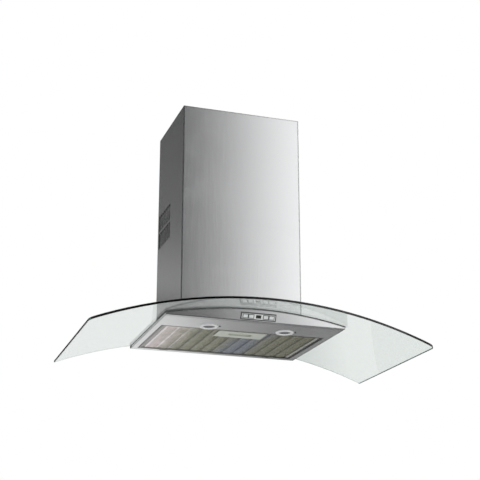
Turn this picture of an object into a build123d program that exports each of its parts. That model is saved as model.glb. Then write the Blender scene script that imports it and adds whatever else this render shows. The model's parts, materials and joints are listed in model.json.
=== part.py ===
from build123d import *
import os
from math import asin, cos, degrees, radians, sin, sqrt, tan

# Wall-mounted chimney range hood with a bent glass canopy. Millimetres, +Z up.
# The wall is the plane Y = 0, the front faces -Y, and Z = 0 is the body's underside.

# ---------------------------------------------------------------- glass canopy
glass_width = 900.0
glass_depth = 485.0  # wall to the middle of the front edge
glass_bow_depth = 9.0  # the front edge's ends lie this far behind its middle
glass_thickness = 6.0
glass_bend_radius = 1230.0  # mid-thickness, about an axis along Y
glass_corner_radius = 14.0
glass_edge_width = 1.0
cutout_clearance = 3.0
grommet_wall_thickness = 3.0

# ---------------------------------------------------------------- body
body_width = 482.0
body_depth = 385.0  # wall to the front panel's foot
body_side_height = 4.6  # up to the seal under the glass
body_sheet = 1.0
front_lean = 24.7  # the front panel's top leans out by this angle
front_return_depth = 10.0
fold_gap = 0.8
seal_thickness = 2.0
rim_seal_width = 8.0

# ---------------------------------------------------------------- chimney
chimney_width = 338.0
chimney_depth = 260.0
chimney_top_height = 635.0
chimney_sheet = 1.0
chimney_flange_width = 15.0
chimney_bend_radius = 1.5
chimney_seal_height = 1.5
chimney_seal_width = 3.0
telescope_gap = 1.5
extension_floor_height = 75.0
extension_drop_height = 2.0
vent_rows = 2
vent_columns = 7
vent_width = 12.0
vent_height = 46.0
vent_pitch = 18.0
vent_bar_height = 7.0
vent_floor_height = 292.0
vent_inset_depth = 12.0

# ---------------------------------------------------------------- motor box
box_side_gap = 19.0  # to the chimney's sides
box_front_gap = 20.0  # to the chimney's front
box_top_height = 380.0
box_sheet = 1.2
neck_width = 230.0
neck_depth = 180.0
neck_corner_radius = 12.0
flange_sheet = 1.5
clamp_inset_width = 16.0
wall_bolt_x = 220.0
wall_bolt_z = 240.0
wall_bolt_height = 220.0
wall_bolt_radius = 4.5

# ---------------------------------------------------------------- grease filter
filter_side_inset = 20.0  # from the body's sides
filter_depth = 255.0
filter_thickness = 6.5
filter_back_distance = 21.0
filter_lift_height = 0.3
filter_sheet = 0.8
filter_rim_width = 5.0
filter_side_gap = 2.0
filter_back_gap = 3.3
rib_count = 14
rib_drop_height = 0.6
rib_width = 2.4
hinge_arm_width = 20.0
hinge_arm_thickness = 1.2
hinge_pin_length = 36.0
hinge_pin_radius = 1.2
hinge_pin_distance = 14.7  # wall to the pins
hinge_spacing = 300.0
hinge_notch_gap = 2.0

# ---------------------------------------------------------------- filter latch
latch_width = 132.0
latch_depth = 58.0
latch_middle_distance = 242.0
latch_sheet = 1.2
latch_corner_radius = 3.0
finger_slot_width = 66.0
finger_slot_depth = 20.0
slider_sheet = 1.2
slider_margin_width = 24.0
slider_border_depth = 4.0
rail_width = 1.8
latch_travel = 7.0
tongue_reach_length = 7.0
tongue_width = 36.0
tongue_thickness = 3.0
tongue_lift_height = 1.6

# ---------------------------------------------------------------- lamps
lamp_x = 104.0
lamp_y = 301.0
bezel_radius = 24.0
bezel_opening_radius = 15.5
bezel_drop_height = 2.0
bezel_neck_radius = 21.5
bezel_wall_thickness = 1.2
bezel_height = 9.0
lens_floor_height = 1.0
lens_thickness = 2.0
dish_depth = 11.0
dish_sheet = 1.0
capsule_radius = 4.5
capsule_length = 8.0
holder_radius = 8.0
holder_height = 4.0
lamp_screw_offset = 28.5
lamp_screw_turn = -20.0
lamp_screw_radius = 1.2
lamp_screw_head_radius = 2.3

# ---------------------------------------------------------------- controls
control_height = 11.9
control_width = 92.5
control_rise = 16.5
control_plate_thickness = 1.0
control_rim_width = 1.2
control_rim_thickness = 0.8
control_inset_width = 2.0
control_depth = 10.4
control_web_thickness = 2.0
control_wall_thickness = 1.2
button_places = (-35.0, -19.6, 19.6, 35.0)
button_width = 12.0
button_rise = 8.0
button_proud_height = 1.0
button_edge_radius = 0.4
button_travel = 1.2
button_lip_width = 0.6
button_lip_thickness = 1.6
button_stem_width = 4.0
display_width = 14.0
display_rise = 8.6
display_thickness = 1.5
display_module_gap = 0.5
switch_size = 6.0
switch_height = 2.8
board_thickness = 1.6

# ---------------------------------------------------------------- fan
wheel_x = -20.0
wheel_z = 205.0
wheel_radius = 80.0
wheel_width = 104.0
wheel_ring_thickness = 2.0
wheel_ring_width = 13.0
blade_count = 32
blade_chord_length = 12.0
blade_thickness = 1.2
blade_radius = 73.0
blade_turn = 40.0
hub_radius = 11.0
hub_length = 22.0
scroll_start_radius = 92.0
scroll_growth_step = 9.0
scroll_wall_thickness = 1.5
scroll_depth = 120.0
scroll_top_height = 312.0
eye_radius = 62.0
eye_lip_length = 6.0
adapter_wall_thickness = 1.5
adapter_skirt_height = 10.0
adapter_flange_width = 12.0

# ---------------------------------------------------------------- motor
shaft_radius = 4.0
shaft_overhang_length = 4.0
motor_radius = 44.0
motor_length = 48.0
motor_wall_thickness = 2.0
bearing_radius = 9.0
bearing_length = 6.0
rotor_radius = 24.0
rotor_length = 28.0
stator_radius = 41.8
stator_length = 26.0
air_gap = 0.6
spider_sheet = 1.5
spider_hub_radius = 40.0
spider_band_width = 10.0
spider_arm_width = 12.0
spider_screw_inner_radius = 32.0
motor_screw_radius = 1.5
motor_screw_head_radius = 3.2
motor_screw_length = 3.0
spider_screw_outset = 2.0

# ---------------------------------------------------------------- outlet
duct_radius = 75.0
duct_clearance = 0.4
collar_wall_thickness = 2.5
collar_height = 58.0
collar_flange_width = 16.0
collar_flange_sheet = 3.0
collar_screw_pitch_radius = 83.0
stop_height = 14.0
stop_width = 5.0
stop_sheet = 2.0
flap_sheet = 1.2
flap_edge_gap = 2.1
flap_bay_gap = 1.0
rod_radius = 2.0
rod_boss_width = 5.0
rod_boss_depth = 6.0
knuckle_radius = 3.2
knuckle_half_length = 20.0

# ---------------------------------------------------------------- electrics
electrics_x = 118.0
terminal_width = 50.0
terminal_depth = 70.0
terminal_height = 32.0
terminal_wall_thickness = 2.0
terminal_y = 62.0
gland_bore_radius = 4.5
gland_neck_radius = 6.0
gland_nut_radius = 9.0
gland_nut_length = 8.0
gland_dome_radius = 7.5
gland_dome_length = 10.0
gland_dome_taper = 6.0
gland_inside_length = 4.0
core_width = 44.0
core_depth = 40.0
core_height = 34.0
coil_width = 34.0
coil_depth = 62.0
coil_height = 26.0
transformer_y = 60.0
capacitor_radius = 15.0
capacitor_height = 48.0
capacitor_inset = 50.0  # from the motor box's front
capacitor_stud_radius = 4.0
capacitor_stud_length = 8.0

# ---------------------------------------------------------------- brackets and fasteners
bracket_sheet = 1.5
bracket_side_gap = 21.0  # to the chimney's sides
bracket_height = 40.0
bracket_drop_height = 12.0
bracket_web_depth = 24.0
bracket_tab_depth = 20.0
bracket_hole_spacing = 220.0
bracket_hole_radius = 3.5
rest_height = 25.0
rest_depth = 40.0
rest_y = 60.0
screw_radius = 2.5
screw_head_radius = 5.0
screw_head_height = 2.5
screw_tip_length = 1.0
nut_radius = 4.6
nut_height = 4.0
cover_screw_radius = 2.0
cover_screw_head_radius = 4.0
cover_screw_head_height = 1.8
cover_screw_length = 4.0

# ---------------------------------------------------------------- clearances
seat_gap = 0.1  # between pieces that sit on each other
running_clearance = 0.03  # radial, shafts in their bearings
moving_gap = 0.3  # between pieces that move past each other

# ---------------------------------------------------------------- worked-out sizes
glass_under = glass_bend_radius - glass_thickness / 2
glass_over = glass_bend_radius + glass_thickness / 2
deck_over = glass_under - seal_thickness
deck_under = deck_over - body_sheet
bend_centre = body_side_height - sqrt(deck_over**2 - body_width**2 / 4)
glass_apex = bend_centre + glass_bend_radius
glass_droop = glass_bend_radius - sqrt(glass_bend_radius**2 - glass_width**2 / 4)
blank_floor = glass_apex - glass_droop - 4 * glass_thickness
blank_height = glass_apex + 4 * glass_thickness - blank_floor
roller_length = 2 * glass_depth
flange_under = glass_over + seal_thickness
flange_over = flange_under + flange_sheet

sheet_run = body_sheet / cos(radians(front_lean))
inside_width = body_width - 2 * (body_sheet + seat_gap)
box_width = chimney_width - 2 * box_side_gap
box_depth = chimney_depth - box_front_gap
box_middle = box_depth / 2

filter_width = body_width - 2 * filter_side_inset
filter_front = filter_back_distance + filter_depth
filter_middle = filter_back_distance + filter_depth / 2
filter_top = filter_lift_height + filter_thickness
hinge_pin_height = body_sheet + seat_gap + hinge_pin_radius
opening_back = filter_back_distance - filter_back_gap
opening_front = filter_front + filter_side_gap
opening_width = filter_width + 2 * filter_side_gap
latch_back = latch_middle_distance - latch_depth / 2
slider_floor = filter_lift_height + moving_gap
slider_width = finger_slot_width + 2 * slider_margin_width
cup_back = latch_middle_distance - finger_slot_depth / 2
cup_front = latch_middle_distance + finger_slot_depth / 2 + latch_travel
slider_back = cup_back - slider_sheet - slider_border_depth
slider_front = cup_front + slider_sheet + slider_border_depth
cup_top = filter_top - filter_sheet

lens_radius = bezel_neck_radius - bezel_wall_thickness - seat_gap
dish_floor = lens_floor_height + lens_thickness + seat_gap
holder_floor = dish_floor + dish_depth + seat_gap

control_window_width = control_width - 2 * control_inset_width
control_window_rise = control_rise - 2 * control_inset_width
plate_floor = control_rim_thickness + seat_gap
plate_face = plate_floor + control_plate_thickness
lip_top = plate_floor - moving_gap
stem_top = lip_top - button_lip_thickness
stem_foot = switch_height + button_travel + moving_gap - control_depth - seat_gap
lip_width = button_width + 2 * button_lip_width
lip_rise = button_rise + 2 * button_lip_width

wheel_back = box_middle - wheel_width / 2
scroll_back = box_middle - scroll_depth / 2
scroll_front = box_middle + scroll_depth / 2
mouth_left = wheel_x
mouth_right = wheel_x + scroll_start_radius + 3 * scroll_growth_step
mouth_middle = (mouth_left + mouth_right) / 2
mouth_width = mouth_right - mouth_left
mouth_depth = scroll_depth - 2 * scroll_wall_thickness
motor_back = scroll_front - motor_length
spider_screw_outer_radius = eye_radius + spider_band_width / 2 + spider_screw_outset

spigot_radius = duct_radius - duct_clearance
spigot_bore = spigot_radius - collar_wall_thickness
collar_radius = spigot_radius + collar_flange_width
adapter_top = box_top_height - box_sheet - seat_gap
capacitor_y = box_depth - capacitor_inset
stop_top = box_top_height + stop_height + stop_sheet
flap_floor = stop_top + moving_gap
flap_radius = spigot_bore - flap_edge_gap
rod_z = flap_floor + knuckle_radius
rod_reach = spigot_bore - seat_gap

extension_back = chimney_sheet + telescope_gap
extension_width = chimney_width - 2 * (chimney_sheet + telescope_gap)
extension_front = chimney_depth - chimney_sheet - telescope_gap
extension_top = chimney_top_height - extension_drop_height
cover_inside = chimney_width / 2 - chimney_sheet
extension_inside = extension_width / 2 - chimney_sheet
bracket_half_width = chimney_width / 2 - bracket_side_gap
bracket_top = extension_top - bracket_drop_height
bracket_middle = bracket_top - bracket_height / 2
rest_top = extension_floor_height - moving_gap
rest_floor = rest_top - rest_height

os.makedirs("parts", exist_ok=True)


def front_face(z):
    """Distance from the wall of the leaning front panel's outer face at a height."""
    return body_depth + z * tan(radians(front_lean))


panel_centre = (0, -front_face(control_height), control_height)
lean_normal = (0, -cos(radians(front_lean)), -sin(radians(front_lean)))
panel_plane = Plane(origin=panel_centre, x_dir=(1, 0, 0), z_dir=lean_normal)
panel_axis = Axis(panel_centre, lean_normal)
button_spots = [(place, 0) for place in button_places]

lamp_places = [(-lamp_x, -lamp_y), (lamp_x, -lamp_y)]
lamp_screw_shift = Vector(lamp_screw_offset, 0).rotate(Axis.Z, lamp_screw_turn)
lamp_screw_places = [(x + lamp_screw_shift.X, y + lamp_screw_shift.Y) for x, y in lamp_places]
wheel_centre = (wheel_x, wheel_z)


def roll_axis():
    """Place of the glass's bend axis, at the middle of the glass's depth."""
    return Locations((0, -glass_depth / 2, bend_centre))


def clamp_planes(radius):
    """Planes on a bent surface at the six clamp screws, square to the surface."""
    turn = asin((box_width / 2 - clamp_inset_width) / glass_over)
    planes = []
    for side in (-1, 1):
        for y in (-clamp_inset_width, -box_middle, clamp_inset_width - box_depth):
            normal = (side * sin(turn), 0, cos(turn))
            origin = (side * radius * sin(turn), y, bend_centre + radius * cos(turn))
            planes.append(Plane(origin=origin, x_dir=(0, 1, 0), z_dir=normal))
    return planes


def bent_sheet(outline, under, over, hole_radius):
    """Sheet bent round the glass's axis, cut to a plan outline, with clamp holes."""
    with BuildPart() as sheet:
        extrude(outline, amount=blank_height)
        with roll_axis():
            Cylinder(over, roller_length, rotation=(90, 0, 0), mode=Mode.INTERSECT)
            Cylinder(under, roller_length, rotation=(90, 0, 0), mode=Mode.SUBTRACT)
        with BuildSketch(*clamp_planes(under)):
            Circle(hole_radius)
        extrude(amount=over - under, both=True, mode=Mode.SUBTRACT)
    return sheet.part


# ================================================================ GLASS CANOPY
side_front = glass_depth - glass_bow_depth
grommet_radius = screw_radius + grommet_wall_thickness

with BuildSketch(Plane.XY.offset(blank_floor)) as glass_plan:
    with BuildLine():
        ThreePointArc(
            (-glass_width / 2, -side_front), (0, -glass_depth), (glass_width / 2, -side_front)
        )
        Polyline(
            (glass_width / 2, -side_front),
            (glass_width / 2, 0),
            (-glass_width / 2, 0),
            (-glass_width / 2, -side_front),
        )
    make_face()
    fillet(glass_plan.vertices().group_by(Axis.Y)[0], glass_corner_radius)
    with Locations((0, -box_middle)):
        RectangleRounded(
            neck_width + 2 * cutout_clearance,
            neck_depth + 2 * cutout_clearance,
            neck_corner_radius,
            mode=Mode.SUBTRACT,
        )

glass_sheet = bent_sheet(glass_plan.sketch, glass_under, glass_over, grommet_radius + seat_gap)

with BuildPart() as glass_canopy:
    add(glass_sheet)
    long_edges = glass_canopy.edges().filter_by(lambda edge: edge.length > 0.8 * glass_depth)
    chamfer(long_edges, glass_edge_width)
glass_canopy.part.label = "glass_canopy"
export_step(glass_canopy.part, "parts/glass_canopy.step")

with BuildPart() as glass_grommets:
    with BuildSketch(*clamp_planes(glass_under)):
        Circle(grommet_radius)
        Circle(screw_radius + seat_gap, mode=Mode.SUBTRACT)
    extrude(amount=glass_thickness)
glass_grommets.part.label = "glass_grommets"
export_step(glass_grommets.part, "parts/glass_grommets.step")

# ================================================================ SEALS ON THE GLASS
with BuildSketch(Plane.XY.offset(blank_floor)) as glass_seal_plan:
    with Locations((0, -front_face(glass_apex) / 2)):
        Rectangle(body_width, front_face(glass_apex))
    with Locations((0, -body_depth / 2)):
        Rectangle(
            body_width - 2 * rim_seal_width,
            body_depth - 2 * rim_seal_width,
            mode=Mode.SUBTRACT,
        )
    with Locations((0, -box_middle)):
        Rectangle(box_width, box_depth)
        RectangleRounded(neck_width, neck_depth, neck_corner_radius, mode=Mode.SUBTRACT)

with BuildSketch(Plane.XY.offset(blank_floor)) as flange_plan:
    with Locations((0, -box_middle)):
        Rectangle(box_width, box_depth)
        RectangleRounded(neck_width, neck_depth, neck_corner_radius, mode=Mode.SUBTRACT)

seat = seat_gap / 2
screw_hole = screw_radius + seat_gap
under_sheet = bent_sheet(glass_seal_plan.sketch, deck_over + seat, glass_under - seat, screw_hole)
over_sheet = bent_sheet(flange_plan.sketch, glass_over + seat, flange_under - seat, screw_hole)

with BuildPart() as glass_seal:
    add(under_sheet)
    with BuildSketch(Plane.YZ.offset(-body_width / 2)):
        Polygon(
            (0, 0),
            (-front_face(0), 0),
            (-front_face(glass_apex), glass_apex),
            (0, glass_apex),
            align=None,
        )
    extrude(amount=body_width, mode=Mode.INTERSECT)
glass_seal.part.label = "glass_seal"
export_step(glass_seal.part, "parts/glass_seal.step")

with BuildPart() as tower_seal:
    add(over_sheet)
tower_seal.part.label = "tower_seal"
export_step(tower_seal.part, "parts/tower_seal.step")

# ================================================================ BODY UNDER THE GLASS
with BuildPart() as shell_hollow:
    with BuildSketch(Plane.XY.offset(-glass_apex)):
        with Locations((0, -body_sheet - glass_depth / 2)):
            Rectangle(body_width - 2 * body_sheet, glass_depth)
    extrude(amount=3 * glass_apex)
    with roll_axis():
        Cylinder(deck_under, roller_length, rotation=(90, 0, 0), mode=Mode.INTERSECT)

with BuildPart() as body_shell:
    inner_foot = front_face(0) - sheet_run - seat_gap
    inner_head = front_face(glass_apex) - sheet_run - seat_gap
    with BuildSketch(Plane.YZ.offset(-body_width / 2)):
        Polygon((0, 0), (-inner_foot, 0), (-inner_head, glass_apex), (0, glass_apex), align=None)
    extrude(amount=body_width)
    with roll_axis():
        Cylinder(deck_over, roller_length, rotation=(90, 0, 0), mode=Mode.INTERSECT)
    add(shell_hollow.part, mode=Mode.SUBTRACT)
    with BuildSketch(Plane.XY):
        with Locations((0, -box_middle)):
            RectangleRounded(neck_width, neck_depth, neck_corner_radius)
    extrude(amount=glass_apex, mode=Mode.SUBTRACT)
    with BuildSketch(*clamp_planes(deck_over)):
        Circle(screw_hole)
    extrude(amount=2 * body_sheet, both=True, mode=Mode.SUBTRACT)
body_shell.part.label = "body_shell"
export_step(body_shell.part, "parts/body_shell.step")

with BuildPart() as underside_plate:
    plate_front = body_depth - front_return_depth - fold_gap
    plate_back = body_sheet + seat_gap
    with BuildSketch(Plane.XY):
        with Locations((0, -(plate_front + plate_back) / 2)):
            Rectangle(inside_width, plate_front - plate_back)
        with Locations((0, -(opening_front + opening_back) / 2)):
            Rectangle(opening_width, opening_front - opening_back, mode=Mode.SUBTRACT)
        notch_back = hinge_pin_distance - hinge_pin_radius
        with Locations((0, -(opening_back + notch_back) / 2)):
            with GridLocations(hinge_spacing, 0, 2, 1):
                Rectangle(
                    hinge_arm_width + 2 * hinge_notch_gap,
                    opening_back - notch_back,
                    mode=Mode.SUBTRACT,
                )
        with Locations(*lamp_places):
            Circle(bezel_neck_radius + seat_gap, mode=Mode.SUBTRACT)
        with Locations(*lamp_screw_places):
            Circle(lamp_screw_radius + seat_gap, mode=Mode.SUBTRACT)
    extrude(amount=body_sheet)
underside_plate.part.label = "underside_plate"
export_step(underside_plate.part, "parts/underside_plate.step")

with BuildPart() as front_panel:
    with BuildSketch(Plane.YZ.offset(-body_width / 2)):
        Polygon(
            (-front_face(0), 0),
            (-front_face(glass_apex), glass_apex),
            (sheet_run - front_face(glass_apex), glass_apex),
            (sheet_run - front_face(0), 0),
            align=None,
        )
    extrude(amount=body_width)
    with roll_axis():
        Cylinder(deck_over, roller_length, rotation=(90, 0, 0), mode=Mode.INTERSECT)
    with BuildSketch(Plane.XY):
        with Locations((0, front_return_depth / 2 - body_depth)):
            Rectangle(inside_width, front_return_depth)
    extrude(amount=body_sheet)
    with BuildSketch(panel_plane):
        Rectangle(control_window_width, control_window_rise)
    extrude(amount=2 * body_sheet, both=True, mode=Mode.SUBTRACT)
front_panel.part.label = "front_panel"
export_step(front_panel.part, "parts/front_panel.step")

# ================================================================ LAMPS
for side, x in (("left", -lamp_x), ("right", lamp_x)):
    lamp_axis = Axis((x, -lamp_y, 0), (0, 0, 1))
    lamp_section = Plane(origin=(x, -lamp_y, 0), x_dir=(1, 0, 0), z_dir=(0, -1, 0))

    with BuildPart() as lamp_bezel:
        with BuildSketch(lamp_section):
            with BuildLine():
                Polyline(
                    (bezel_radius, 0),
                    (bezel_neck_radius, 0),
                    (bezel_neck_radius, bezel_height),
                    (bezel_neck_radius - bezel_wall_thickness, bezel_height),
                    (bezel_neck_radius - bezel_wall_thickness, lens_floor_height),
                    (bezel_opening_radius, lens_floor_height),
                    (bezel_opening_radius, 0),
                    (bezel_opening_radius + bezel_drop_height, -bezel_drop_height),
                    (bezel_radius - bezel_drop_height, -bezel_drop_height),
                )
                RadiusArc(
                    (bezel_radius - bezel_drop_height, -bezel_drop_height),
                    (bezel_radius, 0),
                    -bezel_drop_height,
                )
            make_face()
        revolve(axis=lamp_axis)
    lamp_bezel.part.label = "lamp_bezel_" + side
    export_step(lamp_bezel.part, "parts/lamp_bezel_" + side + ".step")

    with BuildPart() as lamp_lens:
        with BuildSketch(Plane.XY.offset(lens_floor_height + seat)):
            with Locations((x, -lamp_y)):
                Circle(lens_radius)
        extrude(amount=lens_thickness)
    lamp_lens.part.label = "lamp_lens_" + side
    export_step(lamp_lens.part, "parts/lamp_lens_" + side + ".step")

    with BuildPart() as lamp_reflector:
        dish_top = dish_floor + dish_depth
        with BuildSketch(lamp_section):
            with BuildLine():
                ThreePointArc(
                    (lens_radius, dish_floor),
                    (0.85 * lens_radius, dish_floor + 0.55 * dish_depth),
                    (holder_radius, dish_top),
                )
                Polyline(
                    (holder_radius, dish_top),
                    (holder_radius - dish_sheet, dish_top),
                    (holder_radius - dish_sheet, dish_top - dish_sheet),
                )
                ThreePointArc(
                    (holder_radius - dish_sheet, dish_top - dish_sheet),
                    (0.85 * lens_radius - dish_sheet, dish_floor + 0.55 * dish_depth - dish_sheet),
                    (lens_radius - dish_sheet, dish_floor),
                )
                Line((lens_radius - dish_sheet, dish_floor), (lens_radius, dish_floor))
            make_face()
        revolve(axis=lamp_axis)
    lamp_reflector.part.label = "lamp_reflector_" + side
    export_step(lamp_reflector.part, "parts/lamp_reflector_" + side + ".step")

    with BuildPart() as lamp_capsule:
        with BuildSketch(Plane.XY.offset(holder_floor)):
            with Locations((x, -lamp_y)):
                Circle(capsule_radius)
        extrude(amount=-capsule_length)
        fillet(lamp_capsule.edges().sort_by(Axis.Z)[0], 0.8 * capsule_radius)
    lamp_capsule.part.label = "lamp_capsule_" + side
    export_step(lamp_capsule.part, "parts/lamp_capsule_" + side + ".step")

    with BuildPart() as lamp_holder:
        with BuildSketch(Plane.XY.offset(holder_floor)):
            with Locations((x, -lamp_y)):
                Circle(holder_radius)
        extrude(amount=holder_height)
        chamfer(lamp_holder.edges().sort_by(Axis.Z)[-1], 0.2 * holder_height)
    lamp_holder.part.label = "lamp_holder_" + side
    export_step(lamp_holder.part, "parts/lamp_holder_" + side + ".step")

with BuildPart() as lamp_screws:
    with BuildSketch(Plane.XY):
        with Locations(*lamp_screw_places):
            Circle(lamp_screw_head_radius)
    extrude(amount=-lamp_screw_radius)
    with BuildSketch(Plane.XY):
        with Locations(*lamp_screw_places):
            Circle(lamp_screw_radius)
    extrude(amount=3 * lamp_screw_radius)
lamp_screws.part.label = "lamp_screws"
export_step(lamp_screws.part, "parts/lamp_screws.step")

# ================================================================ CONTROLS
with BuildPart() as control_housing:
    body_x = control_window_width - 2 * seat_gap
    body_y = control_window_rise - 2 * seat_gap
    with BuildSketch(panel_plane.offset(seat_gap)):
        Rectangle(control_width + 2 * control_rim_width, control_rise + 2 * control_rim_width)
    extrude(amount=control_rim_thickness - seat_gap)
    with BuildSketch(panel_plane.offset(seat_gap)):
        Rectangle(body_x, body_y)
    extrude(amount=-control_depth - seat_gap)
    with BuildSketch(panel_plane.offset(-control_web_thickness)):
        Rectangle(body_x - 2 * control_wall_thickness, body_y - 2 * control_wall_thickness)
    extrude(amount=-control_depth, mode=Mode.SUBTRACT)
    with BuildSketch(panel_plane.offset(control_rim_thickness)):
        with Locations(*button_spots):
            Rectangle(lip_width + 2 * moving_gap, lip_rise + 2 * moving_gap)
        Rectangle(display_width, display_rise)
    extrude(amount=-control_depth, mode=Mode.SUBTRACT)
control_housing.part.label = "control_housing"
export_step(control_housing.part, "parts/control_housing.step")

with BuildPart() as control_plate:
    with BuildSketch(panel_plane.offset(plate_floor)):
        Rectangle(control_width, control_rise)
        with Locations(*button_spots):
            Rectangle(
                button_width + 2 * moving_gap, button_rise + 2 * moving_gap, mode=Mode.SUBTRACT
            )
        Rectangle(display_width, display_rise, mode=Mode.SUBTRACT)
    extrude(amount=control_plate_thickness)
control_plate.part.label = "control_plate"
export_step(control_plate.part, "parts/control_plate.step")

with BuildPart() as display_window:
    with BuildSketch(panel_plane.offset(plate_face)):
        Rectangle(display_width - 2 * seat_gap, display_rise - 2 * seat_gap)
    extrude(amount=-display_thickness)
display_window.part.label = "display_window"
export_step(display_window.part, "parts/display_window.step")

with BuildPart() as control_board:
    board_face = panel_plane.offset(-control_depth - seat_gap)
    with BuildSketch(board_face):
        Rectangle(body_x, body_y)
    extrude(amount=-board_thickness)
    with BuildSketch(board_face):
        with Locations(*button_spots):
            Rectangle(switch_size, switch_size)
    extrude(amount=switch_height)
    with BuildSketch(board_face):
        Rectangle(display_width - 4 * seat_gap, display_rise - 4 * seat_gap)
    extrude(amount=control_depth + seat_gap + plate_face - display_thickness - display_module_gap)
control_board.part.label = "control_board"
export_step(control_board.part, "parts/control_board.step")

button_names = ("button_lamp", "button_off", "button_slower", "button_faster")
for name, spot in zip(button_names, button_spots):
    with BuildPart() as button:
        with BuildSketch(panel_plane.offset(plate_face + button_proud_height)):
            with Locations(spot):
                Rectangle(button_width, button_rise)
        extrude(amount=lip_top - plate_face - button_proud_height)
        fillet(button.edges().group_by(panel_axis)[-1], button_edge_radius)
        with BuildSketch(panel_plane.offset(lip_top)):
            with Locations(spot):
                Rectangle(lip_width, lip_rise)
        extrude(amount=-button_lip_thickness)
        with BuildSketch(panel_plane.offset(stem_top)):
            with Locations(spot):
                Rectangle(button_stem_width, button_stem_width)
        extrude(amount=stem_foot - stem_top)
    button.part.label = name
    export_step(button.part, "parts/" + name + ".step")

# ================================================================ GREASE FILTER
with BuildPart() as filter_frame:
    with BuildSketch(Plane.XY.offset(filter_lift_height)):
        with Locations((0, -filter_middle)):
            Rectangle(filter_width, filter_depth)
    extrude(amount=filter_thickness)
    with BuildSketch(Plane.XY.offset(filter_lift_height + filter_sheet)):
        with Locations((0, -filter_middle)):
            Rectangle(filter_width - 2 * filter_sheet, filter_depth - 2 * filter_sheet)
    extrude(amount=filter_thickness - 2 * filter_sheet, mode=Mode.SUBTRACT)
    with BuildSketch(Plane.XY.offset(filter_lift_height)):
        with Locations((0, -filter_middle)):
            Rectangle(filter_width - 2 * filter_rim_width, filter_depth - 2 * filter_rim_width)
    extrude(amount=filter_thickness, mode=Mode.SUBTRACT)
    with BuildSketch(Plane.XY.offset(hinge_pin_height - hinge_arm_thickness / 2)):
        with Locations((0, -(hinge_pin_distance + filter_back_distance) / 2)):
            with GridLocations(hinge_spacing, 0, 2, 1):
                Rectangle(hinge_arm_width, filter_back_distance - hinge_pin_distance)
    extrude(amount=hinge_arm_thickness)
    for side in (-1, 1):
        with BuildSketch(Plane.YZ.offset((side * hinge_spacing - hinge_pin_length) / 2)):
            with Locations((-hinge_pin_distance, hinge_pin_height)):
                Circle(hinge_pin_radius)
        extrude(amount=hinge_pin_length)
    with BuildSketch(Plane.XZ.offset(filter_front - 2 * filter_sheet)):
        with Locations((0, tongue_lift_height + tongue_thickness / 2)):
            Rectangle(tongue_width + 2 * moving_gap, tongue_thickness + 2 * moving_gap)
    extrude(amount=4 * filter_sheet, mode=Mode.SUBTRACT)
filter_frame.part.label = "filter_frame"
export_step(filter_frame.part, "parts/filter_frame.step")

with BuildPart() as filter_mesh:
    mesh_floor = filter_lift_height + filter_sheet + seat_gap
    mesh_inset = filter_sheet + seat_gap
    rib_length = filter_depth - 2 * filter_rim_width - 2 * seat_gap
    rib_pitch = (filter_width - 2 * filter_rim_width) / rib_count
    with BuildSketch(Plane.XY.offset(mesh_floor)):
        with Locations((0, -filter_middle)):
            Rectangle(filter_width - 2 * mesh_inset, filter_depth - 2 * mesh_inset)
    extrude(amount=filter_thickness - 2 * mesh_inset)
    with BuildSketch(Plane.XY.offset(mesh_floor)):
        with Locations((0, -filter_middle)):
            with GridLocations(rib_pitch, 0, rib_count, 1):
                Rectangle(rib_width, rib_length)
    extrude(amount=-rib_drop_height)
    with BuildSketch(Plane.XY):
        with Locations((0, -(latch_back + filter_front) / 2)):
            Rectangle(latch_width, filter_front - latch_back)
    extrude(amount=filter_top, mode=Mode.SUBTRACT)
filter_mesh.part.label = "filter_mesh"
export_step(filter_mesh.part, "parts/filter_mesh.step")

with BuildPart() as latch_plate:
    with BuildSketch(Plane.XY.offset(filter_lift_height)):
        with Locations((0, -latch_middle_distance)):
            RectangleRounded(latch_width, latch_depth, latch_corner_radius)
            SlotOverall(finger_slot_width, finger_slot_depth, mode=Mode.SUBTRACT)
    extrude(amount=-latch_sheet)
    rail_inside = slider_width / 2 + moving_gap
    rail_height = 2 * moving_gap + 2 * slider_sheet
    with BuildSketch(Plane.XY.offset(filter_lift_height)):
        with Locations((0, -(slider_back + slider_front) / 2)):
            with GridLocations(2 * rail_inside + rail_width, 0, 2, 1):
                Rectangle(rail_width, slider_front - slider_back)
    extrude(amount=rail_height)
    with BuildSketch(Plane.XY.offset(filter_lift_height + rail_height - slider_sheet)):
        with Locations((0, -(slider_back + slider_front) / 2)):
            with GridLocations(2 * rail_inside - rail_width, 0, 2, 1):
                Rectangle(2 * rail_width, slider_front - slider_back)
    extrude(amount=slider_sheet)
latch_plate.part.label = "latch_plate"
export_step(latch_plate.part, "parts/latch_plate.step")

with BuildPart() as latch_slider:
    with BuildSketch(Plane.XY.offset(slider_floor)):
        with Locations((0, -(slider_back + slider_front) / 2)):
            Rectangle(slider_width, slider_front - slider_back)
    extrude(amount=slider_sheet)
    cup_length = cup_front - cup_back
    with BuildSketch(Plane.XY.offset(slider_floor)):
        with Locations((0, -(cup_back + cup_front) / 2)):
            Rectangle(finger_slot_width + 2 * slider_sheet, cup_length + 2 * slider_sheet)
    extrude(amount=cup_top - slider_floor)
    with BuildSketch(Plane.XY.offset(slider_floor)):
        with Locations((0, -(cup_back + cup_front) / 2)):
            Rectangle(finger_slot_width, cup_length)
    extrude(amount=cup_top - slider_floor - slider_sheet, mode=Mode.SUBTRACT)
    tongue_back = slider_front - slider_border_depth
    tongue_front = filter_front + tongue_reach_length
    with BuildSketch(Plane.XY.offset(tongue_lift_height)):
        with Locations((0, -(tongue_back + tongue_front) / 2)):
            Rectangle(tongue_width, tongue_front - tongue_back)
    extrude(amount=tongue_thickness)
latch_slider.part.label = "latch_slider"
export_step(latch_slider.part, "parts/latch_slider.step")

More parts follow.
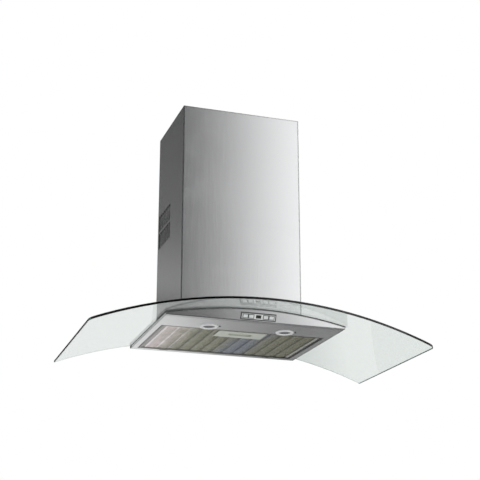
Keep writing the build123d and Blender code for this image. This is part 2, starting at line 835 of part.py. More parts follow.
# ================================================================ MOTOR BOX
flange_sheet_part = bent_sheet(flange_plan.sketch, flange_under + seat, flange_over, screw_hole)

with BuildPart() as motor_box:
    with BuildSketch(Plane.XY):
        with Locations((0, -box_middle)):
            Rectangle(box_width, box_depth)
    extrude(amount=box_top_height)
    with BuildSketch(Plane.XY):
        with Locations((0, -box_middle)):
            Rectangle(box_width - 2 * box_sheet, box_depth - 2 * box_sheet)
    extrude(amount=box_top_height - box_sheet, mode=Mode.SUBTRACT)
    with roll_axis():
        Cylinder(flange_under + seat, roller_length, rotation=(90, 0, 0), mode=Mode.SUBTRACT)
    add(flange_sheet_part)
    with BuildSketch(Plane.XY.offset(box_top_height)):
        with Locations((0, -box_middle)):
            Circle(spigot_bore)
            with PolarLocations(collar_screw_pitch_radius, 4, 45):
                Circle(cover_screw_radius + seat_gap)
        with Locations((-electrics_x, -capacitor_y)):
            Circle(capacitor_stud_radius + seat_gap)
    extrude(amount=-2 * box_sheet, mode=Mode.SUBTRACT)
    with BuildSketch(Plane.XZ):
        with Locations((0, wall_bolt_height)):
            with GridLocations(wall_bolt_x, wall_bolt_z, 2, 2):
                Circle(wall_bolt_radius)
    extrude(amount=2 * box_sheet, mode=Mode.SUBTRACT)
motor_box.part.label = "motor_box"
export_step(motor_box.part, "parts/motor_box.step")

with BuildPart() as clamp_screws:
    with BuildSketch(*clamp_planes(flange_over)):
        Circle(screw_head_radius)
    extrude(amount=screw_head_height)
    with BuildSketch(*clamp_planes(flange_over)):
        Circle(screw_radius)
    extrude(amount=deck_under - nut_height - screw_tip_length - flange_over)
clamp_screws.part.label = "clamp_screws"
export_step(clamp_screws.part, "parts/clamp_screws.step")

with BuildPart() as clamp_nuts:
    with BuildSketch(*clamp_planes(deck_under - seat)):
        RegularPolygon(nut_radius, 6)
        Circle(screw_radius, mode=Mode.SUBTRACT)
    extrude(amount=-nut_height)
clamp_nuts.part.label = "clamp_nuts"
export_step(clamp_nuts.part, "parts/clamp_nuts.step")


# ================================================================ FAN
def scroll_outline(wall, depth, top):
    """Spiral casing's outline in quarter turns, a wall's thickness outside the air space."""
    tongue = degrees(asin(wall / (scroll_start_radius + wall)))
    middle_radius = scroll_start_radius + scroll_growth_step + wall
    with BuildSketch(Plane.XZ.offset(depth)) as outline:
        with BuildLine():
            first = CenterArc(wheel_centre, scroll_start_radius + wall, 90 + tongue, 90 - tongue)
            CenterArc((wheel_x + scroll_growth_step, wheel_z), middle_radius, 180, 90)
            last = CenterArc(
                (wheel_x + scroll_growth_step, wheel_z + scroll_growth_step),
                middle_radius + scroll_growth_step,
                270,
                90,
            )
            Polyline(
                last @ 1, (mouth_right + wall, top), (mouth_left - wall, top), first @ 0
            )
        make_face()
    return outline.sketch


half_depth = scroll_depth / 2
volute_outline_back = scroll_outline(scroll_wall_thickness, scroll_back, scroll_top_height)
volute_outline_front = scroll_outline(scroll_wall_thickness, box_middle, scroll_top_height)
air_top = scroll_top_height + scroll_wall_thickness
air_outline_back = scroll_outline(0, scroll_back + scroll_wall_thickness, air_top)
air_outline_front = scroll_outline(0, box_middle - scroll_wall_thickness, air_top)

with BuildPart() as volute_back:
    extrude(volute_outline_back, amount=half_depth)
    extrude(air_outline_back, amount=half_depth, mode=Mode.SUBTRACT)
    with BuildSketch(Plane.XZ.offset(scroll_back)):
        with Locations(wheel_centre):
            Circle(eye_radius + scroll_wall_thickness)
    extrude(amount=eye_lip_length)
    with BuildSketch(Plane.XZ.offset(scroll_back)):
        with Locations(wheel_centre):
            Circle(eye_radius)
    extrude(amount=eye_lip_length, mode=Mode.SUBTRACT)
volute_back.part.label = "volute_back"
export_step(volute_back.part, "parts/volute_back.step")

with BuildPart() as volute_front:
    extrude(volute_outline_front, amount=half_depth)
    extrude(air_outline_front, amount=half_depth, mode=Mode.SUBTRACT)
    with BuildSketch(Plane.XZ.offset(scroll_front)):
        with Locations(wheel_centre):
            Circle(eye_radius + scroll_wall_thickness)
    extrude(amount=-eye_lip_length)
    with BuildSketch(Plane.XZ.offset(scroll_front)):
        with Locations(wheel_centre):
            Circle(eye_radius)
            with PolarLocations(spider_screw_outer_radius, 3, 90):
                Circle(motor_screw_radius)
    extrude(amount=-eye_lip_length, mode=Mode.SUBTRACT)
volute_front.part.label = "volute_front"
export_step(volute_front.part, "parts/volute_front.step")

with BuildPart() as impeller:
    with BuildSketch(Plane.XZ.offset(wheel_back)):
        with Locations(wheel_centre):
            with PolarLocations(blade_radius, blade_count):
                Rectangle(blade_chord_length, blade_thickness, rotation=blade_turn)
    extrude(amount=wheel_width)
    for ring_back in (wheel_back, wheel_back + wheel_width - wheel_ring_thickness):
        with BuildSketch(Plane.XZ.offset(ring_back)):
            with Locations(wheel_centre):
                Circle(wheel_radius)
                Circle(wheel_radius - wheel_ring_width, mode=Mode.SUBTRACT)
        extrude(amount=wheel_ring_thickness)
    with BuildSketch(Plane.XZ.offset(box_middle - wheel_ring_thickness / 2)):
        with Locations(wheel_centre):
            Circle(wheel_radius)
    extrude(amount=wheel_ring_thickness)
    with BuildSketch(Plane.XZ.offset(box_middle - hub_length)):
        with Locations(wheel_centre):
            Circle(hub_radius)
    extrude(amount=hub_length)
    with BuildSketch(Plane.XZ.offset(wheel_back)):
        with Locations(wheel_centre):
            Circle(shaft_radius)
    extrude(amount=wheel_width, mode=Mode.SUBTRACT)
impeller.part.label = "impeller"
export_step(impeller.part, "parts/impeller.step")

with BuildPart() as motor_rotor:
    rotor_back = motor_back + (motor_length - rotor_length) / 2
    with BuildSketch(Plane.XZ.offset(rotor_back)):
        with Locations(wheel_centre):
            Circle(rotor_radius)
    extrude(amount=rotor_length)
    with BuildSketch(Plane.XZ.offset(box_middle - hub_length - shaft_overhang_length)):
        with Locations(wheel_centre):
            Circle(shaft_radius)
    extrude(amount=scroll_front - box_middle + hub_length + 2 * shaft_overhang_length)
motor_rotor.part.label = "motor_rotor"
export_step(motor_rotor.part, "parts/motor_rotor.step")

with BuildPart() as motor_housing:
    with BuildSketch(Plane.XZ.offset(motor_back)):
        with Locations(wheel_centre):
            Circle(motor_radius)
    extrude(amount=motor_length)
    with BuildSketch(Plane.XZ.offset(motor_back + motor_wall_thickness)):
        with Locations(wheel_centre):
            Circle(motor_radius - motor_wall_thickness)
            Circle(bearing_radius, mode=Mode.SUBTRACT)
    extrude(amount=motor_length - 2 * motor_wall_thickness, mode=Mode.SUBTRACT)
    with BuildSketch(Plane.XZ.offset(motor_back + motor_wall_thickness + bearing_length)):
        with Locations(wheel_centre):
            Circle(bearing_radius + motor_wall_thickness)
    extrude(amount=motor_length - 2 * motor_wall_thickness - 2 * bearing_length, mode=Mode.SUBTRACT)
    with BuildSketch(Plane.XZ.offset(motor_back)):
        with Locations(wheel_centre):
            Circle(shaft_radius + running_clearance)
    extrude(amount=motor_length, mode=Mode.SUBTRACT)
    with BuildSketch(Plane.XZ.offset(scroll_front)):
        with Locations(wheel_centre):
            with PolarLocations(spider_screw_inner_radius, 3, 90):
                Circle(motor_screw_radius)
    extrude(amount=-motor_wall_thickness, mode=Mode.SUBTRACT)
motor_housing.part.label = "motor_housing"
export_step(motor_housing.part, "parts/motor_housing.step")

with BuildPart() as motor_stator:
    with BuildSketch(Plane.XZ.offset(motor_back + (motor_length - stator_length) / 2)):
        with Locations(wheel_centre):
            Circle(stator_radius)
            Circle(rotor_radius + air_gap, mode=Mode.SUBTRACT)
    extrude(amount=stator_length)
motor_stator.part.label = "motor_stator"
export_step(motor_stator.part, "parts/motor_stator.step")

with BuildPart() as motor_spider:
    arm_length = eye_radius - spider_hub_radius + spider_band_width
    with BuildSketch(Plane.XZ.offset(scroll_front + seat_gap)):
        with Locations(wheel_centre):
            Circle(eye_radius + spider_band_width)
            Circle(eye_radius, mode=Mode.SUBTRACT)
            Circle(spider_hub_radius)
            with PolarLocations((spider_hub_radius + eye_radius) / 2, 3, 90):
                Rectangle(arm_length, spider_arm_width)
            Circle(shaft_radius + air_gap, mode=Mode.SUBTRACT)
            with PolarLocations(spider_screw_inner_radius, 3, 90):
                Circle(motor_screw_radius, mode=Mode.SUBTRACT)
            with PolarLocations(spider_screw_outer_radius, 3, 90):
                Circle(motor_screw_radius, mode=Mode.SUBTRACT)
    extrude(amount=spider_sheet)
motor_spider.part.label = "motor_spider"
export_step(motor_spider.part, "parts/motor_spider.step")

with BuildPart() as motor_screws:
    spider_face = scroll_front + seat_gap + spider_sheet
    for circle_radius in (spider_screw_inner_radius, spider_screw_outer_radius):
        with BuildSketch(Plane.XZ.offset(spider_face)):
            with Locations(wheel_centre):
                with PolarLocations(circle_radius, 3, 90):
                    Circle(motor_screw_head_radius)
        extrude(amount=motor_screw_radius)
        with BuildSketch(Plane.XZ.offset(spider_face)):
            with Locations(wheel_centre):
                with PolarLocations(circle_radius, 3, 90):
                    Circle(motor_screw_radius)
        extrude(amount=-motor_screw_length)
motor_screws.part.label = "motor_screws"
export_step(motor_screws.part, "parts/motor_screws.step")

adapter_floor = scroll_top_height + seat_gap
skirt_x = mouth_width + 2 * scroll_wall_thickness + 2 * seat_gap
skirt_y = scroll_depth + 2 * seat_gap

with BuildPart() as adapter_air:
    with BuildSketch(Plane.XY.offset(adapter_floor)):
        with Locations((mouth_middle, -box_middle)):
            RectangleRounded(mouth_width, mouth_depth, neck_corner_radius)
    with BuildSketch(Plane.XY.offset(adapter_top)):
        with Locations((0, -box_middle)):
            Circle(spigot_bore)
    loft()

with BuildPart() as outlet_adapter:
    with BuildSketch(Plane.XY.offset(adapter_floor)):
        with Locations((mouth_middle, -box_middle)):
            RectangleRounded(
                mouth_width + 2 * adapter_wall_thickness,
                mouth_depth + 2 * adapter_wall_thickness,
                neck_corner_radius,
            )
    with BuildSketch(Plane.XY.offset(adapter_top)):
        with Locations((0, -box_middle)):
            Circle(spigot_bore + adapter_wall_thickness)
    loft()
    with BuildSketch(Plane.XY.offset(adapter_floor - adapter_skirt_height)):
        with Locations((mouth_middle, -box_middle)):
            Rectangle(skirt_x + 2 * adapter_wall_thickness, skirt_y + 2 * adapter_wall_thickness)
    extrude(amount=adapter_skirt_height + adapter_wall_thickness)
    with BuildSketch(Plane.XY.offset(adapter_floor)):
        with Locations((mouth_middle, -box_middle)):
            Rectangle(skirt_x, skirt_y)
    extrude(amount=-adapter_skirt_height, mode=Mode.SUBTRACT)
    with BuildSketch(Plane.XY.offset(adapter_top)):
        with Locations((0, -box_middle)):
            Circle(collar_screw_pitch_radius + adapter_flange_width / 2)
            with PolarLocations(collar_screw_pitch_radius, 4, 45):
                Circle(cover_screw_radius, mode=Mode.SUBTRACT)
    extrude(amount=-adapter_wall_thickness)
    add(adapter_air.part, mode=Mode.SUBTRACT)
outlet_adapter.part.label = "outlet_adapter"
export_step(outlet_adapter.part, "parts/outlet_adapter.step")

# ================================================================ OUTLET COLLAR AND FLAPS
with BuildPart() as outlet_collar:
    with BuildSketch(Plane.XY.offset(box_top_height + seat_gap)):
        with Locations((0, -box_middle)):
            Circle(collar_radius)
            Circle(spigot_bore, mode=Mode.SUBTRACT)
            with PolarLocations(collar_screw_pitch_radius, 4, 45):
                Circle(cover_screw_radius + seat_gap, mode=Mode.SUBTRACT)
    extrude(amount=collar_flange_sheet)
    with BuildSketch(Plane.XY.offset(box_top_height + seat_gap)):
        with Locations((0, -box_middle)):
            Circle(spigot_radius)
            Circle(spigot_bore, mode=Mode.SUBTRACT)
    extrude(amount=collar_height)
    with BuildSketch(Plane.XY.offset(stop_top)):
        with Locations((0, -box_middle)):
            Circle(spigot_bore)
            Circle(spigot_bore - stop_width, mode=Mode.SUBTRACT)
    extrude(amount=-stop_sheet)
    boss_length = rod_boss_depth + collar_wall_thickness / 2
    boss_middle = spigot_bore - rod_boss_depth + boss_length / 2
    with BuildSketch(Plane.XY.offset(stop_top)):
        with Locations((0, -box_middle - boss_middle), (0, boss_middle - box_middle)):
            Rectangle(rod_boss_width, boss_length)
    extrude(amount=rod_z + knuckle_radius - stop_top)
    with BuildSketch(Plane.XZ.offset(box_middle - rod_reach)):
        with Locations((0, rod_z)):
            Circle(rod_radius)
    extrude(amount=2 * rod_reach, mode=Mode.SUBTRACT)
outlet_collar.part.label = "outlet_collar"
export_step(outlet_collar.part, "parts/outlet_collar.step")

with BuildPart() as collar_screws:
    collar_face = box_top_height + seat_gap + collar_flange_sheet
    with BuildSketch(Plane.XY.offset(collar_face)):
        with Locations((0, -box_middle)):
            with PolarLocations(collar_screw_pitch_radius, 4, 45):
                Circle(cover_screw_head_radius)
    extrude(amount=cover_screw_head_height)
    with BuildSketch(Plane.XY.offset(collar_face)):
        with Locations((0, -box_middle)):
            with PolarLocations(collar_screw_pitch_radius, 4, 45):
                Circle(cover_screw_radius)
    extrude(amount=adapter_top - adapter_wall_thickness - screw_tip_length - collar_face)
collar_screws.part.label = "collar_screws"
export_step(collar_screws.part, "parts/collar_screws.step")

with BuildPart() as flap_rod:
    with BuildSketch(Plane.XZ.offset(box_middle - rod_reach)):
        with Locations((0, rod_z)):
            Circle(rod_radius)
    extrude(amount=2 * rod_reach)
flap_rod.part.label = "flap_rod"
export_step(flap_rod.part, "parts/flap_rod.step")

rod_span = spigot_bore - rod_boss_depth - flap_bay_gap
outer_knuckle_start = knuckle_half_length + flap_bay_gap
outer_knuckle = (rod_span - outer_knuckle_start, (rod_span + outer_knuckle_start) / 2)
left_knuckles = [(2 * knuckle_half_length, 0)]
right_knuckles = [
    (outer_knuckle[0], -outer_knuckle[1]),
    (outer_knuckle[0], outer_knuckle[1]),
]
for side, sign, knuckles in (("left", -1, left_knuckles), ("right", 1, right_knuckles)):
    with BuildPart() as flap:
        with BuildSketch(Plane.XY.offset(flap_floor)):
            with Locations((0, -box_middle)):
                Circle(flap_radius)
                Rectangle(2 * (knuckle_radius + flap_bay_gap), 2 * flap_radius, mode=Mode.SUBTRACT)
            with Locations((-sign * flap_radius, -box_middle)):
                Rectangle(2 * flap_radius, 2 * flap_radius, mode=Mode.SUBTRACT)
            with Locations((sign * knuckle_radius, -box_middle)):
                for length, shift in knuckles:
                    with Locations((0, shift)):
                        Rectangle(2 * knuckle_radius, length)
        extrude(amount=flap_sheet)
        for length, shift in knuckles:
            with BuildSketch(Plane.XZ.offset(box_middle - shift - length / 2)):
                with Locations((0, rod_z)):
                    Circle(knuckle_radius)
            extrude(amount=length)
        with BuildSketch(Plane.XZ.offset(box_middle - flap_radius)):
            with Locations((0, rod_z)):
                Circle(rod_radius + running_clearance)
        extrude(amount=2 * flap_radius, mode=Mode.SUBTRACT)
    flap.part.label = "flap_" + side
    export_step(flap.part, "parts/flap_" + side + ".step")

# ================================================================ ELECTRICS ON THE BOX
electrics_floor = box_top_height + seat_gap
lid_floor = electrics_floor + terminal_height + seat_gap
lid_top = lid_floor + terminal_wall_thickness

with BuildPart() as terminal_box:
    with BuildSketch(Plane.XY.offset(electrics_floor)):
        with Locations((electrics_x, -terminal_y)):
            Rectangle(terminal_width, terminal_depth)
    extrude(amount=terminal_height)
    with BuildSketch(Plane.XY.offset(electrics_floor + terminal_wall_thickness)):
        with Locations((electrics_x, -terminal_y)):
            Rectangle(
                terminal_width - 2 * terminal_wall_thickness,
                terminal_depth - 2 * terminal_wall_thickness,
            )
    extrude(amount=terminal_height, mode=Mode.SUBTRACT)
terminal_box.part.label = "terminal_box"
export_step(terminal_box.part, "parts/terminal_box.step")

with BuildPart() as terminal_lid:
    with BuildSketch(Plane.XY.offset(lid_floor)):
        with Locations((electrics_x, -terminal_y)):
            Rectangle(terminal_width, terminal_depth)
            Circle(gland_neck_radius + seat_gap, mode=Mode.SUBTRACT)
    extrude(amount=terminal_wall_thickness)
terminal_lid.part.label = "terminal_lid"
export_step(terminal_lid.part, "parts/terminal_lid.step")

with BuildPart() as cable_gland:
    with BuildSketch(Plane.XY.offset(lid_floor - gland_inside_length)):
        with Locations((electrics_x, -terminal_y)):
            Circle(gland_neck_radius)
    extrude(amount=gland_inside_length + terminal_wall_thickness + seat_gap)
    with BuildSketch(Plane.XY.offset(lid_top + seat_gap)):
        with Locations((electrics_x, -terminal_y)):
            RegularPolygon(gland_nut_radius, 6)
    extrude(amount=gland_nut_length)
    with BuildSketch(Plane.XY.offset(lid_top + seat_gap + gland_nut_length)):
        with Locations((electrics_x, -terminal_y)):
            Circle(gland_dome_radius)
    extrude(amount=gland_dome_length, taper=gland_dome_taper)
    with BuildSketch(Plane.XY.offset(electrics_floor)):
        with Locations((electrics_x, -terminal_y)):
            Circle(gland_bore_radius)
    extrude(amount=2 * terminal_height, mode=Mode.SUBTRACT)
cable_gland.part.label = "cable_gland"
export_step(cable_gland.part, "parts/cable_gland.step")

with BuildPart() as lamp_transformer:
    with BuildSketch(Plane.XY.offset(electrics_floor)):
        with Locations((-electrics_x, -transformer_y)):
            Rectangle(core_width, core_depth)
    extrude(amount=core_height)
    with BuildSketch(Plane.XY.offset(electrics_floor + (core_height - coil_height) / 2)):
        with Locations((-electrics_x, -transformer_y)):
            RectangleRounded(coil_width, coil_depth, (coil_depth - core_depth) / 2)
    extrude(amount=coil_height)
lamp_transformer.part.label = "lamp_transformer"
export_step(lamp_transformer.part, "parts/lamp_transformer.step")

with BuildPart() as capacitor:
    with BuildSketch(Plane.XY.offset(electrics_floor)):
        with Locations((-electrics_x, -capacitor_y)):
            Circle(capacitor_radius)
    extrude(amount=capacitor_height)
    fillet(capacitor.edges().group_by(Axis.Z)[-1], capacitor_radius / 6)
    with BuildSketch(Plane.XY.offset(electrics_floor)):
        with Locations((-electrics_x, -capacitor_y)):
            Circle(capacitor_stud_radius)
    extrude(amount=-capacitor_stud_length)
capacitor.part.label = "capacitor"
export_step(capacitor.part, "parts/capacitor.step")


# ================================================================ CHIMNEY
def cover_plan(width, front, back, wall, flange, floor):
    """Plan of a chimney cover: a front, two sides and a return flange at each back edge."""
    with BuildSketch(Plane.XY.offset(floor)) as plan:
        with Locations((0, -(front + back) / 2)):
            Rectangle(width, front - back)
            front_corners = plan.vertices().group_by(Axis.Y)[0]
            fillet(front_corners, chimney_bend_radius)
            Rectangle(width - 2 * wall, front - back - 2 * wall, mode=Mode.SUBTRACT)
        with Locations((0, -back)):
            Rectangle(width - 2 * flange, 4 * wall, mode=Mode.SUBTRACT)
    return plan.sketch


def vent_slots(wall_x):
    """Plane and places of one side's rows of upright vent slots."""
    row_pitch = vent_height + vent_bar_height
    first_row = vent_floor_height + vent_height / 2
    first_slot = vent_inset_depth + vent_width / 2
    places = []
    for row in range(vent_rows):
        for column in range(vent_columns):
            places.append((-first_slot - column * vent_pitch, first_row + row * row_pitch))
    return Plane.YZ.offset(wall_x), places


cover_blank = cover_plan(chimney_width, chimney_depth, 0, chimney_sheet, chimney_flange_width, 0)
with BuildPart() as chimney_cover:
    extrude(cover_blank, amount=chimney_top_height)
    with roll_axis():
        cover_foot = glass_over + chimney_seal_height
        Cylinder(cover_foot, roller_length, rotation=(90, 0, 0), mode=Mode.SUBTRACT)
    for wall_x in (-chimney_width / 2, cover_inside):
        vent_plane, vent_places = vent_slots(wall_x)
        with BuildSketch(vent_plane):
            with Locations(*vent_places):
                Rectangle(vent_width, vent_height)
            with Locations((-rest_y, rest_floor + rest_height / 2)):
                Circle(cover_screw_radius + seat_gap)
        extrude(amount=chimney_sheet, mode=Mode.SUBTRACT)
chimney_cover.part.label = "chimney_cover"
export_step(chimney_cover.part, "parts/chimney_cover.step")

seal_blank = cover_plan(
    chimney_width - 2 * seat_gap,
    chimney_depth - seat_gap,
    0,
    chimney_seal_width,
    chimney_flange_width,
    0,
)
with BuildPart() as chimney_seal:
    extrude(seal_blank, amount=2 * glass_apex)
    with roll_axis():
        seal_over = glass_over + chimney_seal_height - seat
        Cylinder(seal_over, roller_length, rotation=(90, 0, 0), mode=Mode.INTERSECT)
        Cylinder(glass_over + seat, roller_length, rotation=(90, 0, 0), mode=Mode.SUBTRACT)
chimney_seal.part.label = "chimney_seal"
export_step(chimney_seal.part, "parts/chimney_seal.step")

extension_blank = cover_plan(
    extension_width,
    extension_front,
    extension_back,
    chimney_sheet,
    chimney_flange_width,
    extension_floor_height,
)
with BuildPart() as chimney_extension:
    extrude(extension_blank, amount=extension_top - extension_floor_height)
    for wall_x in (-extension_width / 2, extension_inside):
        vent_plane, vent_places = vent_slots(wall_x)
        with BuildSketch(vent_plane):
            with Locations(*vent_places):
                Rectangle(vent_width, vent_height)
            with Locations((-bracket_web_depth - bracket_tab_depth / 2, bracket_middle)):
                Circle(cover_screw_radius)
        extrude(amount=chimney_sheet, mode=Mode.SUBTRACT)
chimney_extension.part.label = "chimney_extension"
export_step(chimney_extension.part, "parts/chimney_extension.step")

tab_outside = extension_inside - seat_gap
tab_y = -bracket_web_depth - bracket_tab_depth / 2

with BuildPart() as chimney_bracket:
    ear_width = tab_outside - bracket_half_width + bracket_sheet
    with BuildSketch(Plane.XY.offset(bracket_top)):
        with Locations((0, -bracket_sheet / 2)):
            Rectangle(2 * bracket_half_width, bracket_sheet)
        for sign in (-1, 1):
            with Locations((sign * (bracket_half_width - bracket_sheet / 2), -bracket_web_depth / 2)):
                Rectangle(bracket_sheet, bracket_web_depth)
            ear_x = sign * (tab_outside - ear_width / 2)
            with Locations((ear_x, bracket_sheet / 2 - bracket_web_depth)):
                Rectangle(ear_width, bracket_sheet)
            with Locations((sign * (tab_outside - bracket_sheet / 2), tab_y)):
                Rectangle(bracket_sheet, bracket_tab_depth)
    extrude(amount=-bracket_height)
    with BuildSketch(Plane.XZ):
        with Locations((0, bracket_middle)):
            with GridLocations(bracket_hole_spacing, 0, 2, 1):
                Circle(bracket_hole_radius)
    extrude(amount=2 * bracket_sheet, mode=Mode.SUBTRACT)
    with BuildSketch(Plane.YZ.offset(-tab_outside)):
        with Locations((tab_y, bracket_middle)):
            Circle(cover_screw_radius + seat_gap)
    extrude(amount=2 * tab_outside, mode=Mode.SUBTRACT)
chimney_bracket.part.label = "chimney_bracket"
export_step(chimney_bracket.part, "parts/chimney_bracket.step")

with BuildPart() as bracket_screws:
    for sign in (-1, 1):
        tab_inside = Plane(
            origin=(sign * (tab_outside - bracket_sheet), tab_y, bracket_middle),
            z_dir=(sign, 0, 0),
        )
        with BuildSketch(tab_inside):
            Circle(cover_screw_head_radius)
        extrude(amount=-cover_screw_head_height)
        with BuildSketch(tab_inside):
            Circle(cover_screw_radius)
        extrude(amount=bracket_sheet + seat_gap + chimney_sheet)
bracket_screws.part.label = "bracket_screws"
export_step(bracket_screws.part, "parts/bracket_screws.step")

with BuildPart() as rest_brackets:
    rest_inside = box_width / 2 + seat_gap
    rest_outside = cover_inside - seat_gap
    with BuildSketch(Plane.XZ.offset(rest_y - rest_depth / 2)):
        for sign in (-1, 1):
            with Locations((sign * (rest_inside + bracket_sheet / 2), rest_floor + rest_height / 2)):
                Rectangle(bracket_sheet, rest_height)
            with Locations((sign * (rest_outside - bracket_sheet / 2), rest_floor + rest_height / 2)):
                Rectangle(bracket_sheet, rest_height)
            with Locations((sign * (rest_inside + rest_outside) / 2, rest_top - bracket_sheet / 2)):
                Rectangle(rest_outside - rest_inside, bracket_sheet)
    extrude(amount=rest_depth)
    with BuildSketch(Plane.YZ.offset(-cover_inside)):
        with Locations((-rest_y, rest_floor + rest_height / 2)):
            Circle(cover_screw_radius)
    extrude(amount=3 * bracket_sheet, mode=Mode.SUBTRACT)
    with BuildSketch(Plane.YZ.offset(cover_inside)):
        with Locations((-rest_y, rest_floor + rest_height / 2)):
            Circle(cover_screw_radius)
    extrude(amount=-3 * bracket_sheet, mode=Mode.SUBTRACT)
rest_brackets.part.label = "rest_brackets"
export_step(rest_brackets.part, "parts/rest_brackets.step")

with BuildPart() as chimney_screws:
    for sign in (-1, 1):
        cover_outside = Plane(
            origin=(sign * chimney_width / 2, -rest_y, rest_floor + rest_height / 2),
            z_dir=(sign, 0, 0),
        )
        with BuildSketch(cover_outside):
            Circle(cover_screw_head_radius)
        extrude(amount=cover_screw_head_height)
        with BuildSketch(cover_outside):
            Circle(cover_screw_radius)
        extrude(amount=-cover_screw_length)
chimney_screws.part.label = "chimney_screws"
export_step(chimney_screws.part, "parts/chimney_screws.step")
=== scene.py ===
import json
import math

import bmesh
import bpy
from mathutils import Matrix, Vector


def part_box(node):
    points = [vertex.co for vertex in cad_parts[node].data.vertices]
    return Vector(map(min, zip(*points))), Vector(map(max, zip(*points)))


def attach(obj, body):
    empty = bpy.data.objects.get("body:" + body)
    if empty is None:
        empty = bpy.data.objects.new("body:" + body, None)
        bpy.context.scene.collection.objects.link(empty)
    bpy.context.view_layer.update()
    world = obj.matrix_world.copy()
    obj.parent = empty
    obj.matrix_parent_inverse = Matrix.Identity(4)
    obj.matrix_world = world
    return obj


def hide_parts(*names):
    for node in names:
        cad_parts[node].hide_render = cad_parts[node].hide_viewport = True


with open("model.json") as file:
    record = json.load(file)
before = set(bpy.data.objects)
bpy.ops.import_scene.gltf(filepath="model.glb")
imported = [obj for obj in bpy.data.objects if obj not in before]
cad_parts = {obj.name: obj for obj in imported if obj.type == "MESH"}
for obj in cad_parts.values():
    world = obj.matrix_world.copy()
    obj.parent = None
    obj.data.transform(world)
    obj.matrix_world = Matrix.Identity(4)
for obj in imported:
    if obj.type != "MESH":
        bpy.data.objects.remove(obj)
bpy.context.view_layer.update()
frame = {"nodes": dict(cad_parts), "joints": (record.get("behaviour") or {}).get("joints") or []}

bl_info = {
    "name": "Curved Glass Range Hood",
    "version": (1, 0, 0),
    "blender": (4, 5, 0),
    "location": "3D View > Sidebar > Range Hood",
    "description": "Finishes the hood's glass, metal and plastic pieces and sets up its studio",
    "category": "Object",
}

RIB_COUNT = 14  # pressed lines across the grease filter
STEPS_PER_BAND = 6  # flat steps that follow the bow of one band between two lines
KEYS = "button_lamp", "button_off", "button_slower", "button_faster"
COLOR, VECTOR, VALUE = "NodeSocketColor", "NodeSocketVector", "NodeSocketFloat"


# ------------------------------------------------------------------ settings

class GlassSettings(bpy.types.PropertyGroup):
    tint: bpy.props.FloatVectorProperty(
        name="Tint", description="What is left of white light behind the canopy",
        subtype="COLOR", min=0, max=1, default=(0.795, 0.845, 0.82))
    edge_tint: bpy.props.FloatVectorProperty(
        name="Edge Tint", description="Colour of the long way through the glass at its ground edges",
        subtype="COLOR", min=0, max=1, default=(0.05, 0.11, 0.09))
    refraction: bpy.props.FloatProperty(
        name="Refraction", description="Refractive index of the glass", min=1, max=2, default=1.45)
    lens_roughness: bpy.props.FloatProperty(
        name="Lens Frosting", description="Roughness of the frosted lamp lenses",
        subtype="FACTOR", min=0, max=1, default=0.35)


class MetalSettings(bpy.types.PropertyGroup):
    steel: bpy.props.FloatVectorProperty(
        name="Stainless Steel", description="Colour of the brushed sheet steel",
        subtype="COLOR", min=0, max=1, default=(0.64, 0.645, 0.65))
    steel_roughness: bpy.props.FloatProperty(
        name="Steel Roughness", description="Roughness of the brushed sheet steel",
        subtype="FACTOR", min=0, max=1, default=0.2)
    grain_width: bpy.props.FloatProperty(
        name="Grain Width", description="Width of one brushed stroke",
        subtype="DISTANCE", unit="LENGTH", min=0.0001, default=0.0006)
    grain_length: bpy.props.FloatProperty(
        name="Grain Length", description="Length of one brushed stroke",
        subtype="DISTANCE", unit="LENGTH", min=0.001, default=0.09)
    zinc: bpy.props.FloatVectorProperty(
        name="Zinc", description="Colour of the galvanised sheet inside the hood",
        subtype="COLOR", min=0, max=1, default=(0.56, 0.58, 0.60))
    spangle_size: bpy.props.FloatProperty(
        name="Spangle Size", description="Width of one zinc crystal",
        subtype="DISTANCE", unit="LENGTH", min=0.001, default=0.014)
    worn_edge: bpy.props.FloatProperty(
        name="Worn Edge", description="Width of the rubbed band along sheet edges",
        subtype="DISTANCE", unit="LENGTH", min=0, default=0.0008)
    # The fold band and its near-black tint paint a dark reflection beside folds and cuts.
    fold: bpy.props.FloatProperty(
        name="Fold", description="Width of the dark band that the brush leaves beside folds and cuts",
        subtype="DISTANCE", unit="LENGTH", min=0, default=0.0038)
    fold_tint: bpy.props.FloatVectorProperty(
        name="Fold Tint", description="Colour of the unbrushed steel beside folds and cuts",
        subtype="COLOR", min=0, max=1, default=(0.025, 0.026, 0.03))


class PlasticSettings(bpy.types.PropertyGroup):
    housing: bpy.props.FloatVectorProperty(
        name="Control Housing", description="Colour of the control housing and the gland",
        subtype="COLOR", min=0, max=1, default=(0.025, 0.026, 0.028))
    keys: bpy.props.FloatVectorProperty(
        name="Keys", description="Colour of the satin plated keys",
        subtype="COLOR", min=0, max=1, default=(0.80, 0.81, 0.81))
    fan: bpy.props.FloatVectorProperty(
        name="Fan", description="Colour of the fan wheel, the outlet and its flaps",
        subtype="COLOR", min=0, max=1, default=(0.045, 0.047, 0.05))
    electrics: bpy.props.FloatVectorProperty(
        name="Electrics", description="Colour of the terminal box and the capacitor",
        subtype="COLOR", min=0, max=1, default=(0.34, 0.35, 0.35))
    rubber: bpy.props.FloatVectorProperty(
        name="Seals", description="Colour of the rubber seals and grommets",
        subtype="COLOR", min=0, max=1, default=(0.03, 0.031, 0.032))


